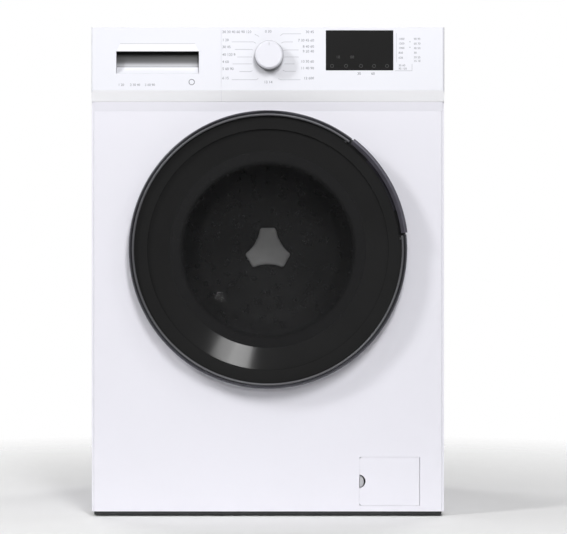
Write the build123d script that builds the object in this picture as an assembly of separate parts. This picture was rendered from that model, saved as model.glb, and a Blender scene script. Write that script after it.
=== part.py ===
from build123d import *
from math import asin, cos, hypot, radians, sin, sqrt
import os

# A front-loading washer dryer in millimetres: +X is the right seen from the front, -Y the front
# and +Z up. The origin is on the floor, under the middle of the whole machine.

# Cabinet
CABINET_WIDTH = 597.0
HALF_WIDTH = CABINET_WIDTH / 2
HEIGHT = 833.0
BODY_DEPTH = 526.0  # front panel's face to the back panel's face
REAR_PROUD = 12.0  # hose connections past the back panel
FLOOR_GAP = 14.0  # floor to the cabinet's lower edge
SHEET = 1.0
CORNER_RADIUS = 5.0
HEM_WIDTH = 2.4
HEM_DEPTH = 14.0
SEAM = 0.6
TOP_THICKNESS = 16.0
TOP_EDGE_RADIUS = 2.5
REAR_RETURN = 42.0
BEAD_WIDTH = 26.0
BEAD_PRESS = 3.0
BEAD_MARGIN = 90.0
TRAY_INSET = 4.2
TRAY_DROP = 5.8  # base tray below the cabinet's lower edge
TRAY_WALL = 3.0
TRAY_RIM = 34.0
FOOT_RADIUS = 21.0
FOOT_PAD = 7.0
FOOT_STUD_RADIUS = 5.0
FOOT_STUD_LENGTH = 46.0
FOOT_INSET = 52.0
PLATE_GAP = 0.4

# Fascia and dispenser drawer
FASCIA_HEIGHT = 125.0
FASCIA_BAND = 18.6  # lower band that slopes back
FASCIA_PROUD = 10.0
FASCIA_BAND_SET = 7.5  # how far the band slopes back
FASCIA_WALL = 2.5
FASCIA_DEPTH = 36.0
FASCIA_END_RADIUS = 4.0
DRAWER_FRONT_WIDTH = 219.5
DRAWER_FRONT_DEPTH = 21.0
GRIP_LEFT = 42.3  # recess from the cabinet's left side
GRIP_WIDTH = 139.6
GRIP_TOP = 40.5  # recess below the top
GRIP_HEIGHT = 38.1
GRIP_DEPTH = 17.0
GRIP_LIP = 12.5
GRIP_LIP_DEPTH = 5.0
GRIP_LIP_TAPER = 6.5
KNOB_X = 2.0
KNOB_DROP = 48.0
KNOB_RADIUS = 24.5
KNOB_HEIGHT = 22.0
KNOB_LIFT = 0.8
ENCODER_RADIUS = 3.0
DISPLAY_INSET = 86.8  # display from the cabinet's right side
DISPLAY_WIDTH = 112.4
DISPLAY_HEIGHT = 66.0
DISPLAY_DROP = 5.3
DISPLAY_THICKNESS = 2.4
DISPLAY_LEDGE = 4.0
TRAY_LEFT_GAP = 32.0  # drawer tray from the cabinet's left side
DRAWER_WIDTH = 160.0
DRAWER_LENGTH = 250.0
DRAWER_HEIGHT = 56.0
DRAWER_WALL = 2.0
DRAWER_DROP = 34.0  # drawer tray's rim below the top
DRAWER_CLEARANCE = 3.0
HOUSING_WALL = 2.5

# Door, measured as radii about its own axis and as distances ahead of the front panel
DOOR_DROP = 375.5  # door's centre below the top
DOOR_RADIUS = 234.0
DOOR_GAP = 6.0
RING_NOSE = 35.0
RING_NOSE_RADIUS = DOOR_RADIUS - 4.5
RING_INNER_RADIUS = DOOR_RADIUS - 8.5
RING_WALL = 3.2
CONE_FRONT = 29.0
WINDOW_RADIUS = 166.0
WINDOW_AHEAD = 13.0
WINDOW_DOME = 4.0
WINDOW_THICKNESS = 3.0
CONE_THICKNESS = 3.5
BOWL_THICKNESS = 5.0
BOWL_DEPTH = 92.0
BOWL_BOTTOM_RADIUS = 118.0
BOWL_NECK_RADIUS = 152.0
BOWL_DOME = 6.5
FRAME_RADIUS = DOOR_RADIUS - 28.0
FRAME_WALL = 3.0
FRAME_AHEAD = 2.0
HINGE_AXIS_RADIUS = DOOR_RADIUS - 12.0
HINGE_AHEAD = 18.0
HINGE_PIN_RADIUS = 2.5
HINGE_KNUCKLE_RADIUS = 4.5
HINGE_BARREL = 44.0
HINGE_LUG = 10.0
RUNNING_FIT = 0.05

# Handle lever and latch, on the door's upper right
HANDLE_ANGLE = 29.5
HANDLE_SPAN = 45.0
HANDLE_AHEAD = 40.0
HANDLE_OUTER_RADIUS = DOOR_RADIUS + 2.0
HANDLE_INNER_RADIUS = RING_INNER_RADIUS + 0.4
HANDLE_BAND = 12.0
HANDLE_END_GAP = 0.8
HANDLE_PIVOT_RADIUS = DOOR_RADIUS - 24.0
HANDLE_PIVOT_AHEAD = 16.0
HANDLE_PIN_RADIUS = 2.0
HANDLE_BARREL_RADIUS = 3.0
HANDLE_WEB_WIDTH = 96.0
HANDLE_WEB = 3.0
HOOK_PIVOT_RADIUS = HANDLE_PIVOT_RADIUS - 14.0
HOOK_PIVOT_AHEAD = 10.0
HOOK_WIDTH = 10.0
HOOK_REACH = 19.0
HOOK_THICKNESS = 3.4
HOOK_BARB = 4.0
CAM_RADIUS = HOOK_PIVOT_RADIUS - 14.0
CAM_WIDTH = 7.0
LATCH_SLOT_WIDTH = 15.0

# Loading throat, tub and drum, measured as depths behind the front panel's face
PORT_RADIUS = 178.0
PORT_FLANGE = 14.0
GASKET_WALL = 3.0
GASKET_MOUTH_RADIUS = 156.5
GASKET_LIP_DEPTH = 8.0
TUB_SIDE_GAP = 36.5  # cabinet's side to the tub's skin
TUB_RADIUS = HALF_WIDTH - TUB_SIDE_GAP
TUB_WALL = 4.0
TUB_JOINT = 225.0
TUB_FLANGE = 9.0
TUB_FLANGE_THICKNESS = 6.0
TUB_NECK_RADIUS = 172.0
TUB_NECK = 20.0
TUB_RIBS = 12
TUB_TRAVEL = 8.0
TUB_GAP = 0.15  # between the tub's skin and what stands on it
DRUM_GAP = 16.0  # tub's skin to the drum's wall
DRUM_RADIUS = TUB_RADIUS - DRUM_GAP
DRUM_WALL = 1.2
DRUM_FRONT = 94.0
DRUM_REAR_ROOM = 144.0  # drum's back to the back panel, for the hub and the pulley
DRUM_LENGTH = BODY_DEPTH - DRUM_FRONT - DRUM_REAR_ROOM
TUB_FRONT_GAP = 12.0  # tub's front face to the drum's mouth
TUB_BACK_GAP = 26.0  # drum's back to the tub's back face, for the spider
TUB_FRONT = DRUM_FRONT - TUB_FRONT_GAP
DRUM_MOUTH_RADIUS = 165.0
DRUM_LIP = 7.0
DRUM_FRONT_SLOPE = 14.0
HOLE_RADIUS = 3.0
HOLE_ROWS = 7
HOLES_PER_FIELD = 6
LIFTER_COUNT = 3
LIFTER_HEIGHT = 46.0
LIFTER_FOOT = 84.0
LIFTER_CREST = 22.0
LIFTER_LENGTH = DRUM_LENGTH - 30.0
LIFTER_WALL = 2.5
HUB_LOBE_RADIUS = 21.0
HUB_LOBE_REACH = 19.0
HUB_PROUD = 7.0
SPIDER_ARM = 30.0
SPIDER_THICKNESS = 13.0
SPIDER_HUB_RADIUS = 36.0
SHAFT_FRONT_RADIUS = 15.0
SHAFT_REAR_RADIUS = 12.5
FRONT_BEARING_RADIUS = 36.0
FRONT_BEARING_WIDTH = 19.0
REAR_BEARING_RADIUS = 31.0
REAR_BEARING_WIDTH = 17.0
BEARING_SPACING = 40.0  # middle to middle
BEARING_SHELL = 10.0
SEAL_WIDTH = 9.0
PULLEY_RADIUS = 150.0
PULLEY_WIDTH = 20.0
PULLEY_RIM = 9.0
PULLEY_SPOKES = 6
BELT_THICKNESS = 4.0
BELT_WIDTH = 16.0
BELT_CLEARANCE = 0.3

# Drive motor, springs, dampers and counterweights
MOTOR_DROP = 80.0  # motor's axis below the tub's skin
MOTOR_EAR_SET = 22.0
MOTOR_RADIUS = 56.0
MOTOR_LENGTH = 150.0
MOTOR_SHAFT_RADIUS = 6.0
MOTOR_PULLEY_RADIUS = 10.0
SPRING_OFFSET = TUB_RADIUS - 30.0
SPRING_DEPTH = 330.0
SPRING_RADIUS = 11.0
SPRING_WIRE = 3.2
SPRING_LENGTH = 118.0
DAMPER_OFFSET = 150.0
DAMPER_RADIUS = 13.0
DAMPER_ROD_RADIUS = 5.0
DAMPER_CYLINDER = 120.0
DAMPER_DEPTHS = (150.0, 345.0)
WEIGHT_DEPTH = 34.0
WEIGHT_INSET = 30.0  # counterweights in from the tub's skin
WEIGHT_BREADTH = 40.0
WEIGHT_SPAN = 116.0
HEATER_ROD_RADIUS = 4.0
HEATER_SPREAD = 52.0
HEATER_START = 33.0  # heater's loop behind the tub's joint
SUMP_DEPTH = 150.0
SUMP_RADIUS = 14.0

# Draining
FLAP_INSET = 41.4  # flap from the cabinet's right side
FLAP_WIDTH = 101.7
FLAP_LEFT = HALF_WIDTH - FLAP_INSET - FLAP_WIDTH
FLAP_BOTTOM = 24.2
FLAP_HEIGHT = 81.3
FLAP_GAP = 0.5
FLAP_THICKNESS = 2.6
FLAP_CORNER = 4.0
FLAP_PIN_RADIUS = 1.4
FLAP_RETURN = 11.0
SLOT_HEIGHT = 23.0
SLOT_DEPTH = 10.0
PUMP_X = FLAP_LEFT + FLAP_WIDTH / 2
PUMP_Z = FLAP_BOTTOM + FLAP_HEIGHT / 2
SUMP_X = PUMP_X - 116.0
FILTER_DEPTH = 21.0
FILTER_CAP_RADIUS = 28.0
FILTER_BORE_RADIUS = 31.0
FILTER_LENGTH = 84.0
PUMP_WALL = 3.0
PUMP_MOTOR_RADIUS = 26.0
PUMP_MOTOR_LENGTH = 62.0
IMPELLER_RADIUS = 20.0

# Drying and rear connections
DUCT_LEFT = -70.0
DUCT_FRONT = 64.0
DUCT_REAR = 296.0
DUCT_HEIGHT = 46.0
DUCT_TOP_DROP = 16.0
DUCT_WALL = 2.5
RISER_RADIUS = 28.0
FAN_X = HALF_WIDTH - 88.5
FAN_DEPTH = 190.0
FAN_RADIUS = 60.0
FAN_HEIGHT = 32.0
FAN_BLADES = 12
FAN_MOTOR_RADIUS = 27.0
INLET_X = 94.5 - HALF_WIDTH
INLET_DROP = 84.0
INLET_THREAD_RADIUS = 13.2
INLET_BORE_RADIUS = 9.0
VALVE_NECK = 14.0
VALVE_COLLAR = 6.0
VALVE_BODY = 30.0
VALVE_LENGTH = 34.0
VALVE_STUB = 12.0
VALVE_STUB_RADIUS = 6.2
DRAIN_X = HALF_WIDTH - 66.5
DRAIN_DROP = 96.0
DRAIN_SPIGOT_RADIUS = 11.0
DRAIN_SPIGOT_REACH = 22.0  # spigot's inner end from the back panel
GLAND_X = DRAIN_X
GLAND_DROP = 150.0
GLAND_RADIUS = 9.0
PLUG_RADIUS = 15.0
PLUG_INSET = 63.5  # transit plugs from the cabinet's sides
PLUG_SPREAD_Z = 300.0
SCREW_RADIUS = 4.0
VENT_WIDTH = 60.0
VENT_SPREAD = 84.0

# Places worked out from the sizes above
PANEL_Y = HANDLE_AHEAD - (HANDLE_AHEAD + BODY_DEPTH + REAR_PROUD) / 2
REAR_Y = PANEL_Y + BODY_DEPTH
TOP_UNDERSIDE = HEIGHT - TOP_THICKNESS
FASCIA_BOTTOM = HEIGHT - FASCIA_HEIGHT
FASCIA_Y = PANEL_Y - FASCIA_PROUD
DRAWER_EDGE = -HALF_WIDTH + DRAWER_FRONT_WIDTH
CARRIER_Y = FASCIA_Y + DRAWER_FRONT_DEPTH
AXIS_Z = HEIGHT - DOOR_DROP
MOTOR_Z = AXIS_Z - TUB_RADIUS - MOTOR_DROP
TRAY_Z = FLOOR_GAP - TRAY_DROP


def behind(depth):
    """The y of a depth behind the front panel's face."""
    return PANEL_Y + depth


def ahead(distance):
    """The y of a distance ahead of the front panel's face."""
    return PANEL_Y - distance


DRUM_BACK = DRUM_FRONT + DRUM_LENGTH
TUB_BACK = DRUM_BACK + TUB_BACK_GAP
SPIDER_BACK = DRUM_BACK + SPIDER_THICKNESS
FRONT_BEARING = TUB_BACK - TUB_WALL + SEAL_WIDTH + FRONT_BEARING_WIDTH / 2
REAR_BEARING = FRONT_BEARING + BEARING_SPACING
HUB_END = REAR_BEARING + REAR_BEARING_WIDTH / 2
PULLEY_DEPTH = HUB_END + 6.0
PULLEY_MIDDLE = PULLEY_DEPTH + PULLEY_WIDTH / 2


def block(x0, x1, y0, y1, z0, z1):
    """A box between two corners."""
    centre = Pos((x0 + x1) / 2, (y0 + y1) / 2, (z0 + z1) / 2)
    return centre * Box(x1 - x0, y1 - y0, z1 - z0)


def rod_x(radius, x0, x1, y, z):
    """A cylinder along X."""
    return Pos((x0 + x1) / 2, y, z) * Rot(0, 90, 0) * Cylinder(radius, x1 - x0)


def rod_y(radius, x, y0, y1, z):
    """A cylinder along Y."""
    return Pos(x, (y0 + y1) / 2, z) * Rot(90, 0, 0) * Cylinder(radius, y1 - y0)


def rod_z(radius, x, y, z0, z1):
    """A cylinder along Z."""
    return Pos(x, y, (z0 + z1) / 2) * Cylinder(radius, z1 - z0)


def side_profile(points, x0, x1):
    """A prism along X whose outline is given as (y, z) points."""
    outline = Plane.YZ * Polygon(*points, align=None)
    return Pos(x0, 0, 0) * extrude(outline, x1 - x0, dir=(1, 0, 0))


def front_plate(sketch, y0, y1):
    """A plate between two depths from a sketch drawn in X and Z."""
    plane = Plane(origin=(0, y1, 0), x_dir=(1, 0, 0), z_dir=(0, -1, 0))
    return extrude(plane * sketch, y1 - y0, dir=(0, -1, 0))


def floor_plate(sketch, z0, z1):
    """A plate between two heights from a sketch drawn in X and Y."""
    return Pos(0, 0, z0) * extrude(sketch, z1 - z0, dir=(0, 0, 1))


def turned(*points):
    """A ring about the Y axis through the origin, from (radius, y) points."""
    return revolve(Polygon(*points, align=None), Axis.Y, 360)


def on_axis(shape):
    """A shape made about the Y axis, moved to the axis of the door and drum."""
    return Pos(0, 0, AXIS_Z) * shape


def at_handle(shape):
    """A shape made with its radius along X, turned to the handle's place on the door."""
    return on_axis(Rot(0, -HANDLE_ANGLE, 0) * shape)


def sector(half_angle, radius, y0, y1):
    """A wedge about the Y axis that opens towards +X."""
    reach = radius / cos(radians(half_angle))
    rise = radius * sin(radians(half_angle)) / cos(radians(half_angle))
    wedge = Polygon((0, 0), (reach * cos(radians(half_angle)), -rise), (radius, rise), align=None)
    return front_plate(wedge, y0, y1)


def mirrored_pair(shape):
    """A shape and its mirror image on the other side of the machine."""
    return [shape, mirror(shape, Plane.YZ)]


def cone_face(radius):
    """How far ahead of the panel the dished cover's face is at a radius."""
    share = (radius - WINDOW_RADIUS) / (RING_INNER_RADIUS - WINDOW_RADIUS)
    return WINDOW_AHEAD + share * (CONE_FRONT - WINDOW_AHEAD)


# Casing

def fascia_back():
    """The y where the fascia ends and the sheet walls reach full height."""
    return FASCIA_Y + FASCIA_DEPTH + SEAM


def cabinet_wrap():
    """Side walls joined at the back, with front hems, a top flange and pressed beads."""
    front = PANEL_Y + SEAM
    rear = REAR_Y - SHEET
    shell = block(-HALF_WIDTH, HALF_WIDTH, front, rear, FLOOR_GAP, TOP_UNDERSIDE)
    shell = fillet(shell.edges().filter_by(Axis.Z).sort_by(Axis.Y)[-2:], CORNER_RADIUS)
    inner = HALF_WIDTH - SHEET
    shell -= block(-inner, inner, front - 1, rear - SHEET, FLOOR_GAP - 1, TOP_UNDERSIDE + 1)
    shell -= block(-HALF_WIDTH - 1, HALF_WIDTH + 1, front - 1, fascia_back(), FASCIA_BOTTOM - SEAM, HEIGHT)
    window = HALF_WIDTH - REAR_RETURN
    low = FLOOR_GAP + REAR_RETURN
    high = TOP_UNDERSIDE - REAR_RETURN
    shell -= block(-window, window, rear - 2 * SHEET, rear + 1, low, high)
    hem = block(HALF_WIDTH - HEM_WIDTH, inner, front, front + HEM_DEPTH, FLOOR_GAP, FASCIA_BOTTOM - SEAM)
    flange = block(inner - REAR_RETURN / 2, inner, fascia_back(), rear - SHEET,
                   TOP_UNDERSIDE - SHEET, TOP_UNDERSIDE)
    for piece in mirrored_pair(hem) + mirrored_pair(flange):
        shell += piece
    front_edges = [edge for edge in shell.edges().filter_by(Axis.Z)
                   if abs(edge.center().Y - front) < 0.01 and abs(edge.center().X) > HALF_WIDTH - 0.01]
    shell = fillet(front_edges, HEM_WIDTH * 0.8)
    for y in (behind(BODY_DEPTH * 0.32), behind(BODY_DEPTH * 0.68)):
        for side in (-1, 1):
            shell += side_bead(side, y, BEAD_WIDTH + 2 * SHEET, inner - BEAD_PRESS, inner)
            shell -= side_bead(side, y, BEAD_WIDTH, HALF_WIDTH - BEAD_PRESS, HALF_WIDTH + 1)
    return shell


def side_bead(side, y, width, x0, x1):
    """One upright stiffening bead in a side wall."""
    margin = BEAD_MARGIN - (width - BEAD_WIDTH) / 2
    length = TOP_UNDERSIDE - FLOOR_GAP - 2 * margin
    middle = (TOP_UNDERSIDE + FLOOR_GAP) / 2
    if side > 0:
        return block(x0, x1, y - width / 2, y + width / 2, middle - length / 2, middle + length / 2)
    return block(-x1, -x0, y - width / 2, y + width / 2, middle - length / 2, middle + length / 2)


def worktop():
    """The boarded top, rounded along its edges."""
    board = block(-HALF_WIDTH, HALF_WIDTH, fascia_back(), REAR_Y, TOP_UNDERSIDE, HEIGHT)
    uprights = board.edges().filter_by(Axis.Z).sort_by(Axis.Y)[-2:]
    board = fillet(uprights, CORNER_RADIUS)
    rim = board.faces().sort_by(Axis.Z)[-1].edges()
    return fillet(rim, TOP_EDGE_RADIUS)


def panel_opening(x0, x1, z0, z1, depth):
    """The void of a rectangular opening in the front panel."""
    return block(x0, x1, PANEL_Y - 1, behind(depth), z0, z1)


def front_panel():
    """The pressed front sheet with the loading port, the flap's opening and its edge returns."""
    half = HALF_WIDTH - HEM_WIDTH - PLATE_GAP
    top = FASCIA_BOTTOM - SEAM
    panel = block(-half, half, PANEL_Y, behind(HEM_DEPTH), FLOOR_GAP, top)
    panel = fillet(panel.edges().filter_by(Axis.Z).sort_by(Axis.Y)[:2], HEM_WIDTH)
    inner = half - SHEET
    panel -= block(-inner, inner, behind(SHEET), behind(HEM_DEPTH) + 1, FLOOR_GAP + SHEET, top - SHEET)
    collar = turned((PORT_RADIUS, PANEL_Y), (PORT_RADIUS + SHEET, PANEL_Y),
                    (PORT_RADIUS + SHEET, behind(PORT_FLANGE)), (PORT_RADIUS, behind(PORT_FLANGE)))
    panel -= rod_y(PORT_RADIUS + SHEET, 0, PANEL_Y - 1, behind(PORT_FLANGE), AXIS_Z)
    panel += on_axis(collar)
    left = FLAP_LEFT - FLAP_GAP
    right = FLAP_LEFT + FLAP_WIDTH + FLAP_GAP
    low = FLAP_BOTTOM - FLAP_GAP
    high = FLAP_BOTTOM + FLAP_HEIGHT + FLAP_GAP
    panel += block(left - SHEET, right + SHEET, PANEL_Y, behind(FLAP_RETURN), low - SHEET, high + SHEET)
    panel -= panel_opening(left, right, low, high, FLAP_RETURN + 1)
    panel -= rod_z(FLAP_PIN_RADIUS + RUNNING_FIT, flap_axis_x(), flap_axis_y(), low - 2, high + 2)
    slot = block(HOOK_PIVOT_RADIUS - 12, HOOK_PIVOT_RADIUS + 16, PANEL_Y - 1, behind(SHEET) + 1,
                 -LATCH_SLOT_WIDTH / 2, LATCH_SLOT_WIDTH / 2)
    panel -= at_handle(slot)
    for side in (-1, 1):
        panel -= hinge_lug(side, PLATE_GAP)
    return panel


def back_panel():
    """The removable rear sheet with its pressed field and its openings."""
    half = HALF_WIDTH - 12
    low = FLOOR_GAP + 20
    high = TOP_UNDERSIDE - 12
    sheet = block(-half, half, REAR_Y - SHEET, REAR_Y, low, high)
    sheet = fillet(sheet.edges().filter_by(Axis.Y), CORNER_RADIUS)
    margin = 74
    dish_depth = 5
    pan = block(-half + margin, half - margin, REAR_Y - dish_depth - SHEET, REAR_Y - SHEET,
                low + margin, high - 2 * margin)
    void = block(-half + margin + SHEET, half - margin - SHEET, REAR_Y - dish_depth, REAR_Y + 1,
                 low + margin + SHEET, high - 2 * margin - SHEET)
    sheet = sheet + pan - void
    for row in range(5):
        z = high - 36 - 14 * row
        for x in (-VENT_SPREAD / 2, VENT_SPREAD / 2):
            half_vent = VENT_WIDTH / 2
            sheet -= block(x - half_vent, x + half_vent, REAR_Y - 2 * SHEET, REAR_Y + 1, z - 2, z + 2)
    sheet -= rod_y(INLET_THREAD_RADIUS + 3, INLET_X, REAR_Y - 3, REAR_Y + 1, HEIGHT - INLET_DROP)
    sheet -= rod_y(DRAIN_SPIGOT_RADIUS + 3, DRAIN_X, REAR_Y - 3, REAR_Y + 1, HEIGHT - DRAIN_DROP)
    sheet -= rod_y(GLAND_RADIUS, GLAND_X, REAR_Y - 3, REAR_Y + 1, HEIGHT - GLAND_DROP)
    for x, z in plug_places():
        sheet -= rod_y(PLUG_RADIUS - 3, x, REAR_Y - 3, REAR_Y + 1, z)
    return sheet


def plug_places():
    """Where the four transit bolts go through the back panel."""
    middle = AXIS_Z + 20
    return [(side * (HALF_WIDTH - PLUG_INSET), middle + rise * PLUG_SPREAD_Z / 2)
            for side in (-1, 1) for rise in (-1, 1)]


def transit_plugs():
    """Round plugs that close the transit-bolt holes."""
    plugs = []
    for x, z in plug_places():
        cap = rod_y(PLUG_RADIUS, x, REAR_Y, REAR_Y + 3, z)
        cap = chamfer(cap.edges().sort_by(Axis.Y)[-1], 1.2)
        stem = rod_y(PLUG_RADIUS - 3.2, x, REAR_Y - 14, REAR_Y, z)
        stem -= rod_y(PLUG_RADIUS - 5, x, REAR_Y - 15, REAR_Y - 3, z)
        plugs.append(cap + stem)
    return plugs


def foot_places():
    """The four feet as (name, x, y)."""
    x = HALF_WIDTH - FOOT_INSET
    front = behind(FOOT_INSET)
    rear = REAR_Y - FOOT_INSET
    return [("front_left", -x, front), ("front_right", x, front),
            ("rear_left", -x, rear), ("rear_right", x, rear)]


def base_tray():
    """The moulded base with its rim, cross ribs and threaded bosses for the feet."""
    half = HALF_WIDTH - TRAY_INSET
    front = behind(TRAY_INSET)
    rear = REAR_Y - 2 * SHEET - TRAY_INSET
    rim_top = TRAY_Z + TRAY_RIM
    tray = block(-half, half, front, rear, TRAY_Z, FLOOR_GAP)
    upper = HALF_WIDTH - SHEET - HEM_WIDTH - PLATE_GAP
    y0 = behind(HEM_DEPTH + 1)
    tray += block(-upper, upper, y0, rear, FLOOR_GAP, rim_top)
    cavity_z = TRAY_Z + TRAY_WALL
    tray -= block(-upper + TRAY_WALL, upper - TRAY_WALL, y0 + TRAY_WALL, rear - TRAY_WALL,
                  cavity_z, rim_top + 1)
    for share in (0.12, 0.5, 0.85):
        y = y0 + share * (rear - y0)
        tray += block(-upper, upper, y - TRAY_WALL / 2, y + TRAY_WALL / 2, TRAY_Z, rim_top - 16)
    tray -= rod_y(FILTER_BORE_RADIUS + PUMP_WALL + 1, PUMP_X, y0 - 1, y0 + TRAY_WALL + 1, PUMP_Z)
    for _, x, y in foot_places():
        tray += rod_z(FOOT_STUD_RADIUS + 9, x, y, TRAY_Z, rim_top)
        tray -= rod_z(FOOT_STUD_RADIUS + RUNNING_FIT, x, y, TRAY_Z - 1, rim_top + 1)
    for x in (-DAMPER_OFFSET, DAMPER_OFFSET):
        for depth in DAMPER_DEPTHS:
            tray += rod_z(DAMPER_RADIUS + 5, x, behind(depth), TRAY_Z, damper_base())
    return tray


def damper_base():
    """Height of the seats that the damper cylinders stand on."""
    return TRAY_Z + TRAY_WALL + 9


def foot(x, y):
    """One levelling foot: a six-sided pad flange under a threaded stud."""
    pad = rod_z(FOOT_RADIUS, x, y, 0, FOOT_PAD)
    pad = chamfer(pad.edges().sort_by(Axis.Z)[-1], 2)
    stud = rod_z(FOOT_STUD_RADIUS, x, y, FOOT_PAD, FOOT_STUD_LENGTH)
    return pad + stud


def crossbars():
    """The channel that carries the springs and the one under the fascia."""
    inner = HALF_WIDTH - SHEET
    bars = []
    high = TOP_UNDERSIDE - SHEET - 1
    y = behind(SPRING_DEPTH)
    bar = block(-inner, inner, y - 16, y + 16, high - 20, high)
    bar -= block(-inner - 1, inner + 1, y - 14, y + 14, high - 18, high + 1)
    for x in (-SPRING_OFFSET, SPRING_OFFSET):
        bar += block(x - 9, x + 9, y - 2, y + 2, high - 46, high - 18)
        bar -= rod_y(SPRING_WIRE / 2 + 2, x, y - 3, y + 3, high - 38)
    bars.append(bar)
    low = FASCIA_BOTTOM + FASCIA_WALL + 1
    front = behind(HEM_DEPTH + 2)
    reach = HALF_WIDTH - FASCIA_WALL - PLATE_GAP
    channel = block(-reach, reach, front, front + 22, low, low + 11)
    channel -= block(-reach - 1, reach + 1, front + 2, front + 20, low - 1, low + 9)
    bars.append(channel)
    return bars


def cabinet_screws():
    """Screws along the rear edges of the worktop and the back panel."""
    screws = []
    low = FLOOR_GAP + 34
    high = TOP_UNDERSIDE - 24
    for x in (-HALF_WIDTH + 22, HALF_WIDTH - 22):
        for step in range(4):
            z = low + step * (high - low) / 3
            head = rod_y(SCREW_RADIUS, x, REAR_Y, REAR_Y + 2.4, z)
            head = chamfer(head.edges().sort_by(Axis.Y)[-1], 1)
            screws.append(head)
    return screws


# Fascia and dispenser

def fascia_outline(inset):
    """The side outline of the fascia, set in by a wall, as (y, z) points."""
    slope = FASCIA_BAND_SET / FASCIA_BAND
    drop = inset * (hypot(1, slope) - slope)
    return [(FASCIA_Y + inset, HEIGHT - inset),
            (FASCIA_Y + inset, FASCIA_BOTTOM + FASCIA_BAND - drop + inset * slope * 0.5),
            (FASCIA_Y + FASCIA_BAND_SET + inset, FASCIA_BOTTOM + inset)]


def fascia_prism(x0, x1, inset, depth):
    """The fascia's outline as a prism that reaches back to a depth."""
    outline = fascia_outline(inset)
    back = FASCIA_Y + depth
    points = outline + [(back, FASCIA_BOTTOM + inset), (back, HEIGHT - inset)]
    return side_profile(points, x0, x1)


def fascia():
    """The control fascia, with the carrier frame behind the drawer front."""
    right = fascia_prism(DRAWER_EDGE + SEAM, HALF_WIDTH, 0, FASCIA_DEPTH)
    front_corner = [edge for edge in right.edges().filter_by(Axis.Z)
                    if abs(edge.center().X - HALF_WIDTH) < 0.1 and edge.center().Y < PANEL_Y]
    right = fillet(front_corner, FASCIA_END_RADIUS)
    inside = fascia_prism(DRAWER_EDGE + SEAM + FASCIA_WALL, HALF_WIDTH - FASCIA_WALL,
                          FASCIA_WALL, FASCIA_DEPTH + 1)
    right -= inside
    carrier = block(-HALF_WIDTH, DRAWER_EDGE + SEAM + FASCIA_WALL, CARRIER_Y + SEAM,
                    CARRIER_Y + SEAM + FASCIA_WALL, FASCIA_BOTTOM + 1, HEIGHT)
    top_lip = block(-HALF_WIDTH, DRAWER_EDGE + SEAM + FASCIA_WALL, CARRIER_Y + SEAM,
                    FASCIA_Y + FASCIA_DEPTH, HEIGHT - FASCIA_WALL, HEIGHT)
    body = right + carrier + top_lip
    x0, x1, z0, z1 = drawer_aperture()
    body -= block(x0, x1, CARRIER_Y - 1, CARRIER_Y + 8, z0, z1)
    body -= block(DRAWER_EDGE, DRAWER_EDGE + SEAM + FASCIA_WALL + 1, behind(HEM_DEPTH + 1), fascia_back(),
                  FASCIA_BOTTOM + FASCIA_WALL + 0.5, FASCIA_BOTTOM + 15)
    body -= rod_y(KNOB_RADIUS * 0.5, KNOB_X, FASCIA_Y - 1, FASCIA_Y + 6, HEIGHT - KNOB_DROP)
    gap = PLATE_GAP
    x0, x1, z0, z1 = display_box()
    body -= block(x0 - gap, x1 + gap, FASCIA_Y - 1, FASCIA_Y + DISPLAY_THICKNESS - 0.6,
                  z0 - gap, z1 + gap)
    ledge = DISPLAY_LEDGE
    body -= block(x0 + ledge, x1 - ledge, FASCIA_Y - 1, FASCIA_Y + 6, z0 + ledge, z1 - ledge)
    return body


def display_box():
    """The display glass as (x0, x1, z0, z1)."""
    top = HEIGHT - DISPLAY_DROP
    right = HALF_WIDTH - DISPLAY_INSET
    return right - DISPLAY_WIDTH, right, top - DISPLAY_HEIGHT, top


def display_glass():
    """The flush touch glass."""
    x0, x1, z0, z1 = display_box()
    glass = block(x0, x1, FASCIA_Y - 0.6, FASCIA_Y + DISPLAY_THICKNESS - 0.6, z0, z1)
    glass = fillet(glass.edges().filter_by(Axis.Y), 2)
    return chamfer(glass.faces().sort_by(Axis.Y)[0].edges(), 0.4)


def programme_knob():
    """The programme knob: a waisted cap with a pointer groove and a hollow boss."""
    base = FASCIA_Y - KNOB_LIFT
    front = base - KNOB_HEIGHT
    cap = turned((0, front), (KNOB_RADIUS - 3.5, front), (KNOB_RADIUS - 1.2, front + 2.0),
                 (KNOB_RADIUS, front + 5.5), (KNOB_RADIUS, base), (0, base))
    hollow = turned((9, base + 1), (9, front + 4), (KNOB_RADIUS - 3, front + 7), (KNOB_RADIUS - 3, base + 1))
    cap -= hollow
    cap += turned((0, base), (9, base), (9, base + 8), (0, base + 8))
    cap -= turned((0, base + 9), (ENCODER_RADIUS, base + 9), (ENCODER_RADIUS, front + 8), (0, front + 8))
    cap -= block(-0.8, 0.8, front - 1, front + 0.8, KNOB_RADIUS - 9, KNOB_RADIUS - 2)
    return Pos(KNOB_X, 0, HEIGHT - KNOB_DROP) * cap


def control_module():
    """The board carrier behind the fascia, with the rotary encoder that takes the knob."""
    back = FASCIA_Y + FASCIA_DEPTH
    z = HEIGHT - KNOB_DROP
    x0 = DRAWER_EDGE + 22
    x1 = HALF_WIDTH - 30
    board = block(x0, x1, back - 12, back - 8, FASCIA_BOTTOM + 28, HEIGHT - 8)
    tub = block(x0 + 12, x1 - 12, back - 8, back + 8, FASCIA_BOTTOM + 34, HEIGHT - TOP_THICKNESS - 6)
    case = board + tub
    case += block(KNOB_X - 9, KNOB_X + 9, back - 20, back - 12, z - 9, z + 9)
    tip = FASCIA_Y - KNOB_LIFT - KNOB_HEIGHT + 9
    case += rod_y(ENCODER_RADIUS - RUNNING_FIT, KNOB_X, tip, back - 20, z)
    dx0, dx1, dz0, dz1 = display_box()
    case += block(dx0 + 6, dx1 - 6, FASCIA_Y + 5, back - 12, dz0 + 6, dz1 - 6)
    return case


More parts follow.
